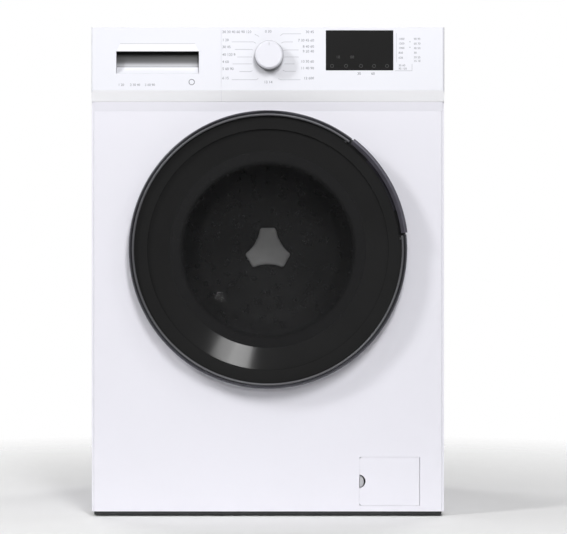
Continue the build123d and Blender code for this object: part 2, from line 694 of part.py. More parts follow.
def drawer_front():
    """The drawer's front moulding with its scooped finger recess under a bevelled lip."""
    front = fascia_prism(-HALF_WIDTH, DRAWER_EDGE, 0, DRAWER_FRONT_DEPTH)
    corner = [edge for edge in front.edges().filter_by(Axis.Z)
              if edge.center().X < -HALF_WIDTH + 0.1 and edge.center().Y < PANEL_Y]
    front = fillet(corner, FASCIA_END_RADIUS)
    x0 = -HALF_WIDTH + GRIP_LEFT
    x1 = x0 + GRIP_WIDTH
    top = HEIGHT - GRIP_TOP
    bottom = top - GRIP_HEIGHT
    y = FASCIA_Y
    back = y + GRIP_DEPTH
    with BuildSketch(Plane.YZ) as scoop:
        with BuildLine():
            Line((y - 1, bottom), (y + 1.5, bottom + 0.6))
            ThreePointArc((y + 1.5, bottom + 0.6), (y + GRIP_DEPTH * 0.72, bottom + GRIP_HEIGHT * 0.3),
                          (back, bottom + GRIP_HEIGHT * 0.78))
            Line((back, bottom + GRIP_HEIGHT * 0.78), (back, top + 4))
            Line((back, top + 4), (y + GRIP_LIP_DEPTH, top + 4))
            Line((y + GRIP_LIP_DEPTH, top + 4), (y + GRIP_LIP_DEPTH, top))
            Line((y + GRIP_LIP_DEPTH, top), (y - 1, top))
            Line((y - 1, top), (y - 1, bottom))
        make_face()
    front -= Pos(x0, 0, 0) * extrude(scoop.sketch, x1 - x0, dir=(1, 0, 0))
    front -= grip_lip(x0, x1, top)
    cavity_top = top + 4 + FASCIA_WALL
    for z0, z1 in ((FASCIA_BOTTOM + FASCIA_BAND, bottom - 4), (cavity_top, HEIGHT - FASCIA_WALL)):
        low = z0 + FASCIA_WALL
        if z1 - low > 4:
            y0 = FASCIA_Y + max(FASCIA_WALL, GRIP_LIP_DEPTH + 2.0)
            front -= block(-HALF_WIDTH + 6, DRAWER_EDGE - 4, y0, FASCIA_Y + DRAWER_FRONT_DEPTH + 1, low, z1)
    return front


def grip_lip(x0, x1, top):
    """The bevel that leads down into the finger recess."""
    bevel = [(FASCIA_Y - 1, top + GRIP_LIP), (FASCIA_Y, top + GRIP_LIP),
             (FASCIA_Y + GRIP_LIP_DEPTH, top - 0.01), (FASCIA_Y - 1, top - 0.01)]
    wedge = side_profile(bevel, x0 - 5, x1 + 5)
    outline = Polygon((x0, top - 1), (x1, top - 1), (x1, top), (x1 - GRIP_LIP_TAPER, top + GRIP_LIP),
                      (x0 + GRIP_LIP_TAPER, top + GRIP_LIP), (x0, top), align=None)
    return wedge & front_plate(outline, FASCIA_Y - 2, FASCIA_Y + GRIP_DEPTH)


def tray_box():
    """The drawer tray as (x0, x1, y0, y1, z0, z1)."""
    x0 = -HALF_WIDTH + TRAY_LEFT_GAP
    z1 = HEIGHT - DRAWER_DROP
    return x0, x0 + DRAWER_WIDTH, CARRIER_Y, CARRIER_Y + DRAWER_LENGTH, z1 - DRAWER_HEIGHT, z1


def drawer_aperture():
    """The hole in the fascia's carrier that the drawer slides through."""
    x0, x1, _, _, z0, z1 = tray_box()
    return (x0 - DRAWER_CLEARANCE, x1 + DRAWER_CLEARANCE, z0 - DRAWER_CLEARANCE, z1 + DRAWER_CLEARANCE)


def compartments():
    """The drawer's three compartments as (name, x0, x1, y0, y1, z0)."""
    x0, x1, y0, y1, z0, _ = tray_box()
    wall = DRAWER_WALL
    inner = x1 - x0 - 4 * wall
    main = x0 + wall + inner * 0.42
    soft = main + wall + inner * 0.3
    cells = [("main_wash", x0 + wall, main), ("softener", main + wall, soft),
             ("prewash", soft + wall, x1 - wall)]
    return [(name, a, b, y0 + wall, y1 - wall, z0 + wall) for name, a, b in cells]


def drawer_tray():
    """The sliding tray, with a spill notch at the back and a siphon post in the middle cell."""
    x0, x1, y0, y1, z0, z1 = tray_box()
    tray = block(x0, x1, y0, y1, z0, z1)
    for name, a, b, c, d, floor in compartments():
        cell = block(a, b, c, d, floor, z1 + 1)
        cell = fillet(cell.edges().filter_by(Axis.Z), 4)
        tray -= cell
        if name == "softener":
            tray += rod_z(5, (a + b) / 2, d - 22, floor, floor + 26)
            tray -= rod_z(3, (a + b) / 2, d - 22, z0 - 1, floor + 27)
        else:
            tray -= block(a + 6, b - 6, d - 1, y1 + 1, floor + 12, z1 + 1)
    return tray


def softener_siphon():
    """The lift-out siphon cap over the post in the softener cell."""
    _, a, b, _, d, floor = [cell for cell in compartments() if cell[0] == "softener"][0]
    x = (a + b) / 2
    y = d - 22
    top = tray_box()[5] - 2
    cap = rod_z(9, x, y, floor + 1, top - 6) - rod_z(7, x, y, floor, floor + 34)
    lid = block(a + 1, b - 1, y - 26, d - 4, top - 6, top - 3)
    tab = block(x - 6, x + 6, y - 26, y - 23, top - 3, top)
    return cap + lid + tab


def housing_box():
    """The dispenser housing's outside as (x0, x1, y0, y1, z0, z1)."""
    x0, x1, y0, y1, z0, z1 = tray_box()
    gap = DRAWER_CLEARANCE
    wall = HOUSING_WALL
    top = TOP_UNDERSIDE - 3
    return (x0 - gap - wall, x1 + gap + wall, CARRIER_Y + SEAM + FASCIA_WALL, y1 + 16 + wall,
            z0 - 12 - wall, top)


def dispenser_housing():
    """The box the drawer slides in, with a sloped floor, a jet plate and the hose stub."""
    x0, x1, y0, y1, z0, z1 = housing_box()
    wall = HOUSING_WALL
    gap = DRAWER_CLEARANCE
    box = block(x0, x1, y0, y1, z0, z1)
    tray_low = tray_box()[4]
    floor = [(y0 - 1, tray_low - gap), (y1 - wall, z0 + wall), (y1 - wall, z1 - 5), (y0 - 1, z1 - 5)]
    box -= side_profile(floor, x0 + wall, x1 - wall)
    for step in range(3):
        y = y0 + 50 + step * 70
        box += block(x0, x1, y, y + 4, z1 - 1, z1 + 1.5)
    stub_x, stub_y = dispenser_outlet()
    box += rod_z(13, stub_x, stub_y, z0 - 12, z0 + wall)
    box -= rod_z(10, stub_x, stub_y, z0 - 13, z0 + wall + 1)
    return box + rod_y(VALVE_STUB_RADIUS, INLET_X, y1, y1 + 12, HEIGHT - INLET_DROP)


def dispenser_outlet():
    """Where the dispenser drains to the tub."""
    x0, x1, y0, y1, _, _ = housing_box()
    return x1 - 30, y1 - 24


# Door

def door_trim_ring():
    """The bright rounded ring, open where the handle lies and notched for the hinge lugs."""
    inner_wall = DOOR_RADIUS - RING_WALL
    with BuildSketch() as section:
        with BuildLine():
            Polyline((inner_wall, ahead(DOOR_GAP)), (DOOR_RADIUS - 0.6, ahead(DOOR_GAP)),
                     (DOOR_RADIUS, ahead(RING_NOSE * 0.66)))
            ThreePointArc((DOOR_RADIUS, ahead(RING_NOSE * 0.66)),
                          (DOOR_RADIUS - 1.1, ahead(RING_NOSE - 3.2)), (RING_NOSE_RADIUS, ahead(RING_NOSE)))
            Polyline((RING_NOSE_RADIUS, ahead(RING_NOSE)), (RING_INNER_RADIUS, ahead(CONE_FRONT + 0.8)),
                     (RING_INNER_RADIUS, ahead(CONE_FRONT - CONE_THICKNESS)),
                     (inner_wall, ahead(CONE_FRONT - CONE_THICKNESS)), (inner_wall, ahead(DOOR_GAP)))
        make_face()
    ring = revolve(section.sketch, Axis.Y, 360)
    opening = Rot(0, -HANDLE_ANGLE, 0) * sector(HANDLE_SPAN / 2 + HANDLE_END_GAP, DOOR_RADIUS + 60,
                                                ahead(HANDLE_AHEAD + 5), PANEL_Y)
    cuts = on_axis(opening)
    for side in (-1, 1):
        z0, z1 = lug_heights(side)
        notch_gap = 1.5
        notch_front = ahead(HINGE_AHEAD + HINGE_KNUCKLE_RADIUS + notch_gap)
        cuts += block(-DOOR_RADIUS - 5, -HINGE_AXIS_RADIUS + 12, notch_front, PANEL_Y,
                      z0 - notch_gap, z1 + notch_gap)
    return on_axis(ring) - cuts


def door_cone():
    """The glossy dished cover between the ring and the window, cut back behind the handle."""
    cone = turned((WINDOW_RADIUS, ahead(WINDOW_AHEAD)), (RING_INNER_RADIUS, ahead(CONE_FRONT)),
                  (RING_INNER_RADIUS, ahead(CONE_FRONT - CONE_THICKNESS)),
                  (WINDOW_RADIUS + 5, ahead(WINDOW_AHEAD - CONE_THICKNESS + 1.2)),
                  (WINDOW_RADIUS + 3, ahead(frame_top())), (WINDOW_RADIUS, ahead(frame_top())))
    notch = sector(HANDLE_SPAN / 2 + HANDLE_END_GAP, DOOR_RADIUS + 60, ahead(HANDLE_AHEAD + 5), PANEL_Y)
    cut_radius = HANDLE_INNER_RADIUS - 4.4
    notch -= rod_y(cut_radius, 0, ahead(HANDLE_AHEAD + 6), behind(1), 0)
    return on_axis(cone - Rot(0, -HANDLE_ANGLE, 0) * notch)


def frame_top():
    """How far ahead of the panel the inner frame holds the window's and the bowl's rims."""
    return WINDOW_AHEAD - WINDOW_THICKNESS - 1.0


def dome_rise(radius, rim, height):
    """How far a shallow dome still stands above its rim at a radius."""
    sphere = (rim ** 2 + height ** 2) / (2 * height)
    return sqrt(sphere ** 2 - radius ** 2) - (sphere - height)


def door_window():
    """The smoked window: a slightly domed disc."""
    front = ahead(WINDOW_AHEAD)
    half_way = WINDOW_RADIUS / 2
    crown = front - WINDOW_DOME
    shoulder = front - dome_rise(half_way, WINDOW_RADIUS, WINDOW_DOME)
    thick = WINDOW_THICKNESS
    with BuildSketch() as section:
        with BuildLine():
            ThreePointArc((0, crown), (half_way, shoulder), (WINDOW_RADIUS, front))
            Line((WINDOW_RADIUS, front), (WINDOW_RADIUS, front + thick))
            ThreePointArc((WINDOW_RADIUS, front + thick), (half_way, shoulder + thick), (0, crown + thick))
            Line((0, crown + thick), (0, crown))
        make_face()
    return on_axis(revolve(section.sketch, Axis.Y, 360))


def bowl_rim_radius():
    """The bowl's flange, inside the inner frame's seat."""
    return WINDOW_RADIUS - 1


def bowl_section(shrink):
    """The bowl's outer outline as (radius, y) points, set in by a wall."""
    floor = behind(BOWL_DEPTH) - shrink
    return [(BOWL_NECK_RADIUS + 8 - shrink, ahead(FRAME_AHEAD + 2)),
            (BOWL_NECK_RADIUS + 6 - shrink, PANEL_Y),
            (BOWL_NECK_RADIUS - shrink, behind(24)),
            (BOWL_BOTTOM_RADIUS + 14 - shrink, floor - 22),
            (BOWL_BOTTOM_RADIUS + 7 - shrink, floor - 6),
            (BOWL_BOTTOM_RADIUS - 6 - shrink, floor)]


def door_bowl():
    """The glass bowl: a rim flange, a tapering wall and a gently domed bottom."""
    rim_front = ahead(frame_top())
    rim_back = ahead(FRAME_AHEAD + FRAME_WALL + 0.4)
    outer = bowl_section(0)
    inner = bowl_section(BOWL_THICKNESS)
    rises = []
    for radius, y in (outer[-1], inner[-1]):
        half_way = radius / 2
        rises.append(((half_way, y - dome_rise(half_way, radius, BOWL_DOME)), (0, y - BOWL_DOME)))
    with BuildSketch() as section:
        with BuildLine():
            Polyline((inner[0][0], rim_front), (bowl_rim_radius(), rim_front), (bowl_rim_radius(), rim_back),
                     (outer[0][0], rim_back), *outer[1:])
            ThreePointArc(outer[-1], *rises[0])
            Line(rises[0][1], rises[1][1])
            ThreePointArc(rises[1][1], rises[1][0], inner[-1])
            Polyline(*reversed(inner[1:]), (inner[0][0], rim_front))
        make_face()
    return on_axis(revolve(section.sketch, Axis.Y, 360))


def door_inner_frame():
    """The door's inner frame, with seats for the bowl, the hinge arm, the handle and the hook."""
    low = ahead(FRAME_AHEAD)
    top = ahead(FRAME_AHEAD + FRAME_WALL)
    seat = WINDOW_RADIUS
    wall_top = cone_face(FRAME_RADIUS) - CONE_THICKNESS - 1.6
    frame = turned((BOWL_NECK_RADIUS + 9, low), (FRAME_RADIUS, low), (FRAME_RADIUS, ahead(wall_top)),
                   (FRAME_RADIUS - FRAME_WALL, ahead(wall_top - 1)), (FRAME_RADIUS - FRAME_WALL, top),
                   (seat + FRAME_WALL, top), (seat + FRAME_WALL, ahead(frame_top())),
                   (seat, ahead(frame_top())), (seat, top), (BOWL_NECK_RADIUS + 9, top))
    frame = on_axis(frame)
    frame -= arm_plate(PLATE_GAP)
    return frame + handle_seats() - handle_cuts()


def handle_seats():
    """Ears that carry the handle's and the hook's pivots."""
    half = HANDLE_WEB_WIDTH / 2
    low = ahead(FRAME_AHEAD)
    ears = []
    ear_top = ahead(HANDLE_PIVOT_AHEAD + HANDLE_BARREL_RADIUS)
    for z0, z1 in ((-half - 5, -half - 1), (half + 1, half + 5)):
        ears.append(block(HANDLE_PIVOT_RADIUS - 7, HANDLE_PIVOT_RADIUS + 4, ear_top, low, z0, z1))
        ears.append(block(HANDLE_PIVOT_RADIUS - 20, HANDLE_PIVOT_RADIUS, low - 10, low, z0, z1))
    hook_half = HOOK_WIDTH / 2
    hook_top = ahead(HOOK_PIVOT_AHEAD + HANDLE_BARREL_RADIUS)
    for z0, z1 in ((-hook_half - 4, -hook_half - 1), (hook_half + 1, hook_half + 4)):
        ears.append(block(HOOK_PIVOT_RADIUS - 5, HOOK_PIVOT_RADIUS + 5, hook_top, low, z0, z1))
    seats = ears[0]
    for ear in ears[1:]:
        seats += ear
    return at_handle(seats)


def handle_cuts():
    """Pivot bores and the openings that the lever's blade and the hook go through."""
    half = HANDLE_WEB_WIDTH / 2 + 6
    bore = HANDLE_PIN_RADIUS + RUNNING_FIT
    cuts = rod_z(bore, HANDLE_PIVOT_RADIUS, ahead(HANDLE_PIVOT_AHEAD), -half, half)
    reach = HOOK_WIDTH / 2 + 5
    cuts += rod_z(bore, HOOK_PIVOT_RADIUS, ahead(HOOK_PIVOT_AHEAD), -reach, reach)
    slot = LATCH_SLOT_WIDTH / 2 - 1.2
    cuts += block(CAM_RADIUS - 5, HOOK_PIVOT_RADIUS + 7, ahead(FRAME_AHEAD + FRAME_WALL + 1),
                  PANEL_Y, -HOOK_WIDTH / 2 - 0.6, HOOK_WIDTH / 2 + 0.6)
    cuts += block(HOOK_PIVOT_RADIUS + 2, FRAME_RADIUS + 3, ahead(HANDLE_PIVOT_AHEAD + 8),
                  ahead(HOOK_PIVOT_AHEAD), -slot, slot)
    return at_handle(cuts)


def lug_heights(side):
    """The lowest and highest z of one hinge lug."""
    near = HINGE_BARREL / 2 + 1
    far = near + HINGE_LUG
    if side > 0:
        return AXIS_Z + near, AXIS_Z + far
    return AXIS_Z - far, AXIS_Z - near


def hinge_lug(side, gap):
    """One lug of the fixed hinge bracket, from behind the panel out to the pin."""
    z0, z1 = lug_heights(side)
    x = -HINGE_AXIS_RADIUS
    y = ahead(HINGE_AHEAD)
    r = HINGE_KNUCKLE_RADIUS
    foot_left = x + 2 - gap
    foot_right = x + 14 + gap
    outline = Polygon((x - r, y - 1), (x + 1, y - r), (x + r + 1, y - 2), (foot_right, ahead(6)),
                      (foot_right, behind(SHEET + 1)), (foot_left, behind(SHEET + 1)), (foot_left, ahead(7)),
                      align=None)
    return floor_plate(outline, z0 - gap, z1 + gap) + rod_z(r, x, y, z0 - gap, z1 + gap)


def hinge_bracket():
    """The fixed bracket behind the panel: plate, two lugs and the riveted pin."""
    x = -HINGE_AXIS_RADIUS
    half = HINGE_BARREL / 2 + HINGE_LUG + 12
    plate_y = behind(SHEET)
    plate = block(x - 4, x + 24, plate_y, plate_y + 3, AXIS_Z - half, AXIS_Z + half)
    bracket = plate + hinge_lug(-1, 0) + hinge_lug(1, 0)
    reach = HINGE_BARREL / 2 + 2
    return bracket + rod_z(HINGE_PIN_RADIUS, x, ahead(HINGE_AHEAD), AXIS_Z - reach, AXIS_Z + reach)


def arm_plate(gap):
    """The hinge arm's plate from its barrel into the inner frame."""
    half = HINGE_BARREL / 2 - 1 + gap
    x = -HINGE_AXIS_RADIUS
    y = ahead(HINGE_AHEAD)
    low = ahead(FRAME_AHEAD + FRAME_WALL)
    end = -FRAME_RADIUS + 30
    path = Polygon((x + 1, y - 3 - gap), (x + 8, y - 3 - gap), (x + 21, low - 4 - gap),
                   (end + gap, low - 4 - gap), (end + gap, low), (x + 17 - gap, low),
                   (x + 7 - gap, y + 3 + gap), (x + 1, y + 3 + gap), align=None)
    return floor_plate(path, AXIS_Z - half, AXIS_Z + half)


def hinge_arm():
    """The moving arm: a barrel round the pin and a cranked plate screwed to the frame."""
    x = -HINGE_AXIS_RADIUS
    y = ahead(HINGE_AHEAD)
    half = HINGE_BARREL / 2
    arm = rod_z(HINGE_KNUCKLE_RADIUS, x, y, AXIS_Z - half, AXIS_Z + half) + arm_plate(0)
    arm -= rod_z(HINGE_PIN_RADIUS + RUNNING_FIT, x, y, AXIS_Z - half - 1, AXIS_Z + half + 1)
    screw_x = -FRAME_RADIUS + 20
    low = ahead(FRAME_AHEAD + FRAME_WALL)
    for z in (AXIS_Z - 12, AXIS_Z + 12):
        arm += rod_y(4, screw_x, low - 6, low - 4, z)
    return arm


def door_handle():
    """The curved lever that lies in the ring, with its web, trunnions and blade."""
    outer = HANDLE_OUTER_RADIUS
    inner = HANDLE_INNER_RADIUS
    band_back = HANDLE_AHEAD - HANDLE_BAND
    with BuildSketch() as section:
        with BuildLine():
            Polyline((outer - 4.6, ahead(HANDLE_PIVOT_AHEAD)), (outer - 4.6, ahead(band_back)),
                     (outer, ahead(band_back)), (outer, ahead(HANDLE_AHEAD - 5)))
            ThreePointArc((outer, ahead(HANDLE_AHEAD - 5)), (outer - 1.4, ahead(HANDLE_AHEAD - 1.4)),
                          (outer - 5, ahead(HANDLE_AHEAD)))
            Polyline((outer - 5, ahead(HANDLE_AHEAD)), (inner, ahead(HANDLE_AHEAD - 7)),
                     (inner, ahead(band_back)), (inner + 1, ahead(band_back)),
                     (inner + 1, ahead(HANDLE_PIVOT_AHEAD)), (outer - 4.6, ahead(HANDLE_PIVOT_AHEAD)))
        make_face()
    lever = revolve(section.sketch, Axis.Y, 360)
    lever &= sector(HANDLE_SPAN / 2, outer + 40, ahead(HANDLE_AHEAD + 5), PANEL_Y)
    half = HANDLE_WEB_WIDTH / 2
    web_top = ahead(HANDLE_PIVOT_AHEAD + HANDLE_WEB / 2)
    web_low = ahead(HANDLE_PIVOT_AHEAD - HANDLE_WEB / 2)
    web = block(HANDLE_PIVOT_RADIUS, outer, web_top, web_low, -half, half)
    web &= rod_y(outer - 4.6, 0, web_top - 1, web_low + 1, 0)
    lever += web
    lever += rod_z(HANDLE_BARREL_RADIUS, HANDLE_PIVOT_RADIUS, ahead(HANDLE_PIVOT_AHEAD), -half, half)
    lever += rod_z(HANDLE_PIN_RADIUS, HANDLE_PIVOT_RADIUS, ahead(HANDLE_PIVOT_AHEAD), -half - 5, half + 5)
    return at_handle(lever + lever_blade())


def lever_blade():
    """The blade under the cone that presses the hook's tail."""
    y = ahead(HANDLE_PIVOT_AHEAD)
    under = CONE_THICKNESS + 0.9
    near = ahead(cone_face(HOOK_PIVOT_RADIUS) - under)
    tip = ahead(cone_face(CAM_RADIUS) - under)
    blade = Polygon((HANDLE_PIVOT_RADIUS, y - 2), (HOOK_PIVOT_RADIUS + 6, near - 1.0),
                    (HOOK_PIVOT_RADIUS, near), (CAM_RADIUS, tip), (CAM_RADIUS - 3, tip + 1),
                    (CAM_RADIUS - 3, tip + 2.4), (CAM_RADIUS, tip + 2.6), (HOOK_PIVOT_RADIUS - 5, near + 2.2),
                    (HOOK_PIVOT_RADIUS + 4, near + 1.6), (HANDLE_PIVOT_RADIUS, y + 1.5), align=None)
    return floor_plate(blade, -CAM_WIDTH / 2, CAM_WIDTH / 2)


def latch_hook():
    """The hook on its trunnions, with its tail under the lever's blade."""
    x = HOOK_PIVOT_RADIUS
    y = ahead(HOOK_PIVOT_AHEAD)
    half = HOOK_WIDTH / 2
    radius = HANDLE_BARREL_RADIUS - 0.4
    tip = behind(HOOK_REACH)
    hook = rod_z(radius, x, y, -half, half)
    hook += rod_z(HANDLE_PIN_RADIUS, x, y, -half - 4, half + 4)
    shank = Polygon((x - HOOK_THICKNESS / 2, y), (x + HOOK_THICKNESS / 2, y), (x + HOOK_THICKNESS / 2, tip),
                    (x - HOOK_THICKNESS / 2, tip), (x - HOOK_THICKNESS / 2 - HOOK_BARB, tip - 4.5),
                    (x - HOOK_THICKNESS / 2, tip - 5.5), align=None)
    hook += floor_plate(shank, -half, half)
    tail_top = ahead(cone_face(CAM_RADIUS) - CONE_THICKNESS - 0.9) + 2.6 + 0.35
    tail = Polygon((x, y - 1.2), (x, y + 1.6), (CAM_RADIUS - 2, tail_top + 2.4), (CAM_RADIUS - 2, tail_top),
                   (CAM_RADIUS + 3, tail_top), align=None)
    hook += floor_plate(tail, -CAM_WIDTH / 2, CAM_WIDTH / 2)
    return at_handle(hook)


def handle_spring():
    """The handle's return spring: a close-wound coil round the lever's barrel, drawn as its sleeve."""
    y = ahead(HANDLE_PIVOT_AHEAD)
    x = HANDLE_PIVOT_RADIUS
    half = HANDLE_WEB_WIDTH / 2
    z0 = half + 5.5
    coil = rod_z(HANDLE_PIN_RADIUS + 1.3, x, y, z0, z0 + 9)
    coil -= rod_z(HANDLE_PIN_RADIUS + 0.3, x, y, z0 - 1, z0 + 10)
    leg = block(x - 10, x - HANDLE_PIN_RADIUS - 0.4, y - 0.5, y + 0.5, z0 + 8, z0 + 9)
    return at_handle(coil + leg)


def door_lock():
    """The electric door lock behind the panel, with its hook slot and keeper."""
    x0 = HOOK_PIVOT_RADIUS - 12
    x1 = HOOK_PIVOT_RADIUS + 20
    lock = block(x0, x1, behind(SHEET + 0.2), behind(32), -32, 32)
    lock -= block(x0 + 2, x1 - 4, PANEL_Y, behind(26), -LATCH_SLOT_WIDTH / 2, LATCH_SLOT_WIDTH / 2)
    keeper = block(x0, HOOK_PIVOT_RADIUS - HOOK_THICKNESS / 2 - 1.2, behind(SHEET + 0.2),
                   behind(HOOK_REACH - 6.2), -LATCH_SLOT_WIDTH / 2, LATCH_SLOT_WIDTH / 2)
    return at_handle(lock + keeper)


def door_gasket():
    """The bellows seal: a cuff on the port's flange, a mouth lip, one fold and a cuff on the tub."""
    port = PORT_RADIUS
    neck = TUB_NECK_RADIUS + TUB_WALL
    wall = GASKET_WALL
    mouth = GASKET_MOUTH_RADIUS
    rear_start = TUB_FRONT - TUB_NECK
    cuff = PORT_FLANGE + 3
    section = turned((mouth, behind(GASKET_LIP_DEPTH)), (port - wall, behind(1.5)), (port - 0.2, behind(1.5)),
                     (port - 0.2, behind(PORT_FLANGE + 0.4)), (port + SHEET + 0.3, behind(PORT_FLANGE + 0.4)),
                     (port + SHEET + 0.3, behind(5)), (port + SHEET + 0.3 + wall, behind(5)),
                     (port + SHEET + 0.3 + wall, behind(cuff)), (port - 2, behind(cuff)),
                     (port - 12, behind(cuff + 12)), (port + 4, behind(rear_start - 12)),
                     (neck + wall, behind(rear_start - 3)), (neck + wall, behind(TUB_FRONT - 3)),
                     (neck, behind(TUB_FRONT - 3)), (neck, behind(rear_start - 0.3)),
                     (TUB_NECK_RADIUS - 3, behind(rear_start - 0.3)),
                     (port - 1, behind(rear_start - 12)), (port - 17, behind(cuff + 12)),
                     (port - 6, behind(cuff - 2)), (mouth + 1, behind(GASKET_LIP_DEPTH + 3)))
    return on_axis(section)


# Tub, drum and drive

def tub_front():
    """The front half of the tub: neck, stepped face, wall and joint flange."""
    r = TUB_RADIUS
    w = TUB_WALL
    neck = TUB_NECK_RADIUS
    rim = behind(TUB_JOINT - TUB_FLANGE_THICKNESS)
    shell = turned((neck, behind(TUB_FRONT - TUB_NECK)), (neck + w, behind(TUB_FRONT - TUB_NECK)),
                   (neck + w, behind(TUB_FRONT)), (r - 26, behind(TUB_FRONT)), (r, behind(TUB_FRONT + 22)),
                   (r, rim), (r + TUB_FLANGE, rim), (r + TUB_FLANGE, behind(TUB_JOINT)),
                   (r - w, behind(TUB_JOINT)), (r - w, behind(TUB_FRONT + 24)),
                   (r - 28, behind(TUB_FRONT + w)), (neck, behind(TUB_FRONT + w)))
    shell = on_axis(shell) + sump_spigot()
    for x in (-DAMPER_OFFSET, DAMPER_OFFSET):
        shell += damper_lug(x, DAMPER_DEPTHS[0])
    return shell - rod_z(SUMP_RADIUS - 3, SUMP_X, behind(SUMP_DEPTH), sump_height() - 20, sump_height() + 40)


def dispenser_spigot_height():
    """Height of the tub's skin at the inner side of the dispenser's hose."""
    x, _ = dispenser_outlet()
    return AXIS_Z + sqrt(TUB_RADIUS ** 2 - (abs(x) - 16) ** 2) + 1


def dispenser_spigot():
    """The spigot on the tub that takes the dispenser's hose."""
    x, y = dispenser_outlet()
    z = dispenser_spigot_height()
    return rod_z(13, x, y, z - 24, z + 4) - rod_z(10, x, y, z - 30, z + 5)


def sump_height():
    """Height of the tub's skin at the inner side of the sump hose."""
    return AXIS_Z - sqrt(TUB_RADIUS ** 2 - (SUMP_X - SUMP_RADIUS - 3) ** 2)


def sump_spigot():
    """The spigot under the tub that the sump hose pushes on to."""
    y = behind(SUMP_DEPTH)
    z = sump_height()
    spigot = rod_z(SUMP_RADIUS, SUMP_X, y, z - 18, z + 16)
    return spigot - on_axis(rod_y(TUB_RADIUS - TUB_WALL, 0, y - 30, y + 30, 0))


def tub_rear():
    """The rear half of the tub: wall, ribbed back, bearing hub, heater well and spring ears."""
    r = TUB_RADIUS
    w = TUB_WALL
    back = TUB_BACK
    hub = FRONT_BEARING_RADIUS + BEARING_SHELL
    bore = SHAFT_FRONT_RADIUS + 4
    rim = behind(TUB_JOINT + TUB_FLANGE_THICKNESS)
    shell = turned((r - w, behind(TUB_JOINT)), (r + TUB_FLANGE, behind(TUB_JOINT)), (r + TUB_FLANGE, rim),
                   (r, rim), (r, behind(back - 14)), (r - 14, behind(back)), (hub, behind(back)),
                   (hub, behind(HUB_END)), (bore, behind(HUB_END)), (bore, behind(back - w)),
                   (r - 16, behind(back - w)), (r - w, behind(back - 15)))
    shell -= bearing_seats()
    rib_end = behind(HUB_END - 12)
    for step in range(TUB_RIBS):
        outline = [(behind(back - 1), 0), (rib_end, 0), (behind(back + 8), r - 70),
                   (behind(back - 1), r - 40)]
        rib = side_profile(outline, -1.6, 1.6)
        rib -= rod_y(hub - 2, 0, behind(back - 2), rib_end + 1, 0)
        shell += Rot(0, step * 360 / TUB_RIBS, 0) * rib
    shell = on_axis(shell)
    shell = shell + heater_well(0) - heater_well(w)
    shell -= on_axis(rod_y(r - w, 0, behind(TUB_JOINT), behind(back - 15), 0))
    shell += dispenser_spigot()
    shell -= on_axis(rod_y(r - w, 0, behind(TUB_JOINT), behind(back - 15), 0))
    for side in (-1, 1):
        shell += spring_ear(side)
    for x in (-DAMPER_OFFSET, DAMPER_OFFSET):
        shell += damper_lug(x, DAMPER_DEPTHS[1])
    shell += motor_lugs()
    return shell


def bearing_seats():
    """The stepped bore for the seal and the two bearings."""
    seal = rod_y(FRONT_BEARING_RADIUS, 0, behind(TUB_BACK - TUB_WALL - 1),
                 behind(FRONT_BEARING + FRONT_BEARING_WIDTH / 2), 0)
    rear_seat = behind(REAR_BEARING - REAR_BEARING_WIDTH / 2)
    rear = rod_y(REAR_BEARING_RADIUS, 0, rear_seat, behind(HUB_END + 1), 0)
    return seal + rear


def heater_well(inset):
    """The shallow well under the tub that the heater lies in."""
    top = AXIS_Z - TUB_RADIUS * 0.9
    low = AXIS_Z - TUB_RADIUS - 16
    half = HEATER_SPREAD + 14
    return block(-half + inset, half - inset, behind(TUB_JOINT + TUB_FLANGE_THICKNESS + 4 + inset),
                 behind(TUB_BACK - 16 - inset), low + inset, top)


def spring_ear(side):
    """One ear high on the tub that a suspension spring hooks into."""
    x = side * SPRING_OFFSET
    y = behind(SPRING_DEPTH)
    top = spring_bottom() + 9
    root = AXIS_Z + sqrt(TUB_RADIUS ** 2 - SPRING_OFFSET ** 2) - 16
    ear = block(x - 10, x + 10, y - 5, y + 5, root, top)
    ear -= on_axis(rod_y(TUB_RADIUS - TUB_WALL, 0, y - 6, y + 6, 0))
    return ear - rod_y(SPRING_WIRE / 2 + 2, x, y - 6, y + 6, spring_bottom())


def spring_top():
    """Height of the springs' upper hooks."""
    return TOP_UNDERSIDE - SHEET - 1 - 38


def spring_bottom():
    """Height of the springs' lower hooks."""
    return spring_top() - SPRING_LENGTH


def suspension_springs():
    """Two tension springs, drawn as the sleeve of their closed coils with a hook at each end."""
    springs = []
    y = behind(SPRING_DEPTH)
    hook = SPRING_WIRE + 3
    for x in (-SPRING_OFFSET, SPRING_OFFSET):
        z0 = spring_bottom() + 14
        z1 = spring_top() - 14
        coil = rod_z(SPRING_RADIUS, x, y, z0, z1) - rod_z(SPRING_RADIUS - SPRING_WIRE, x, y, z0 - 1, z1 + 1)
        for z, reach in ((spring_top(), z1), (spring_bottom(), z0)):
            inward = -1 if z > reach else 1
            bar = block(x - SPRING_RADIUS, x + SPRING_RADIUS, y - hook - 5, y - hook - 5 + SPRING_WIRE,
                        min(reach, reach - inward * SPRING_WIRE), max(reach, reach - inward * SPRING_WIRE))
            leg = block(x - SPRING_WIRE / 2, x + SPRING_WIRE / 2, y - hook - 5, y - hook - 5 + SPRING_WIRE,
                        min(z, reach) - SPRING_WIRE / 2, max(z, reach) + SPRING_WIRE / 2)
            pin = rod_y(SPRING_WIRE / 2, x, y - hook - 4, y + 6, z)
            coil += bar + leg + pin
        springs.append(coil)
    return springs


def damper_lug(x, depth):
    """The tub's lug that a damper rod is pinned to."""
    y = behind(depth)
    surface = AXIS_Z - sqrt(TUB_RADIUS ** 2 - DAMPER_OFFSET ** 2)
    lug = block(x - 10, x + 10, y - 7, y + 7, surface - 26, surface + 12)
    return lug - on_axis(rod_y(TUB_RADIUS - TUB_WALL, 0, y - 8, y + 8, 0))


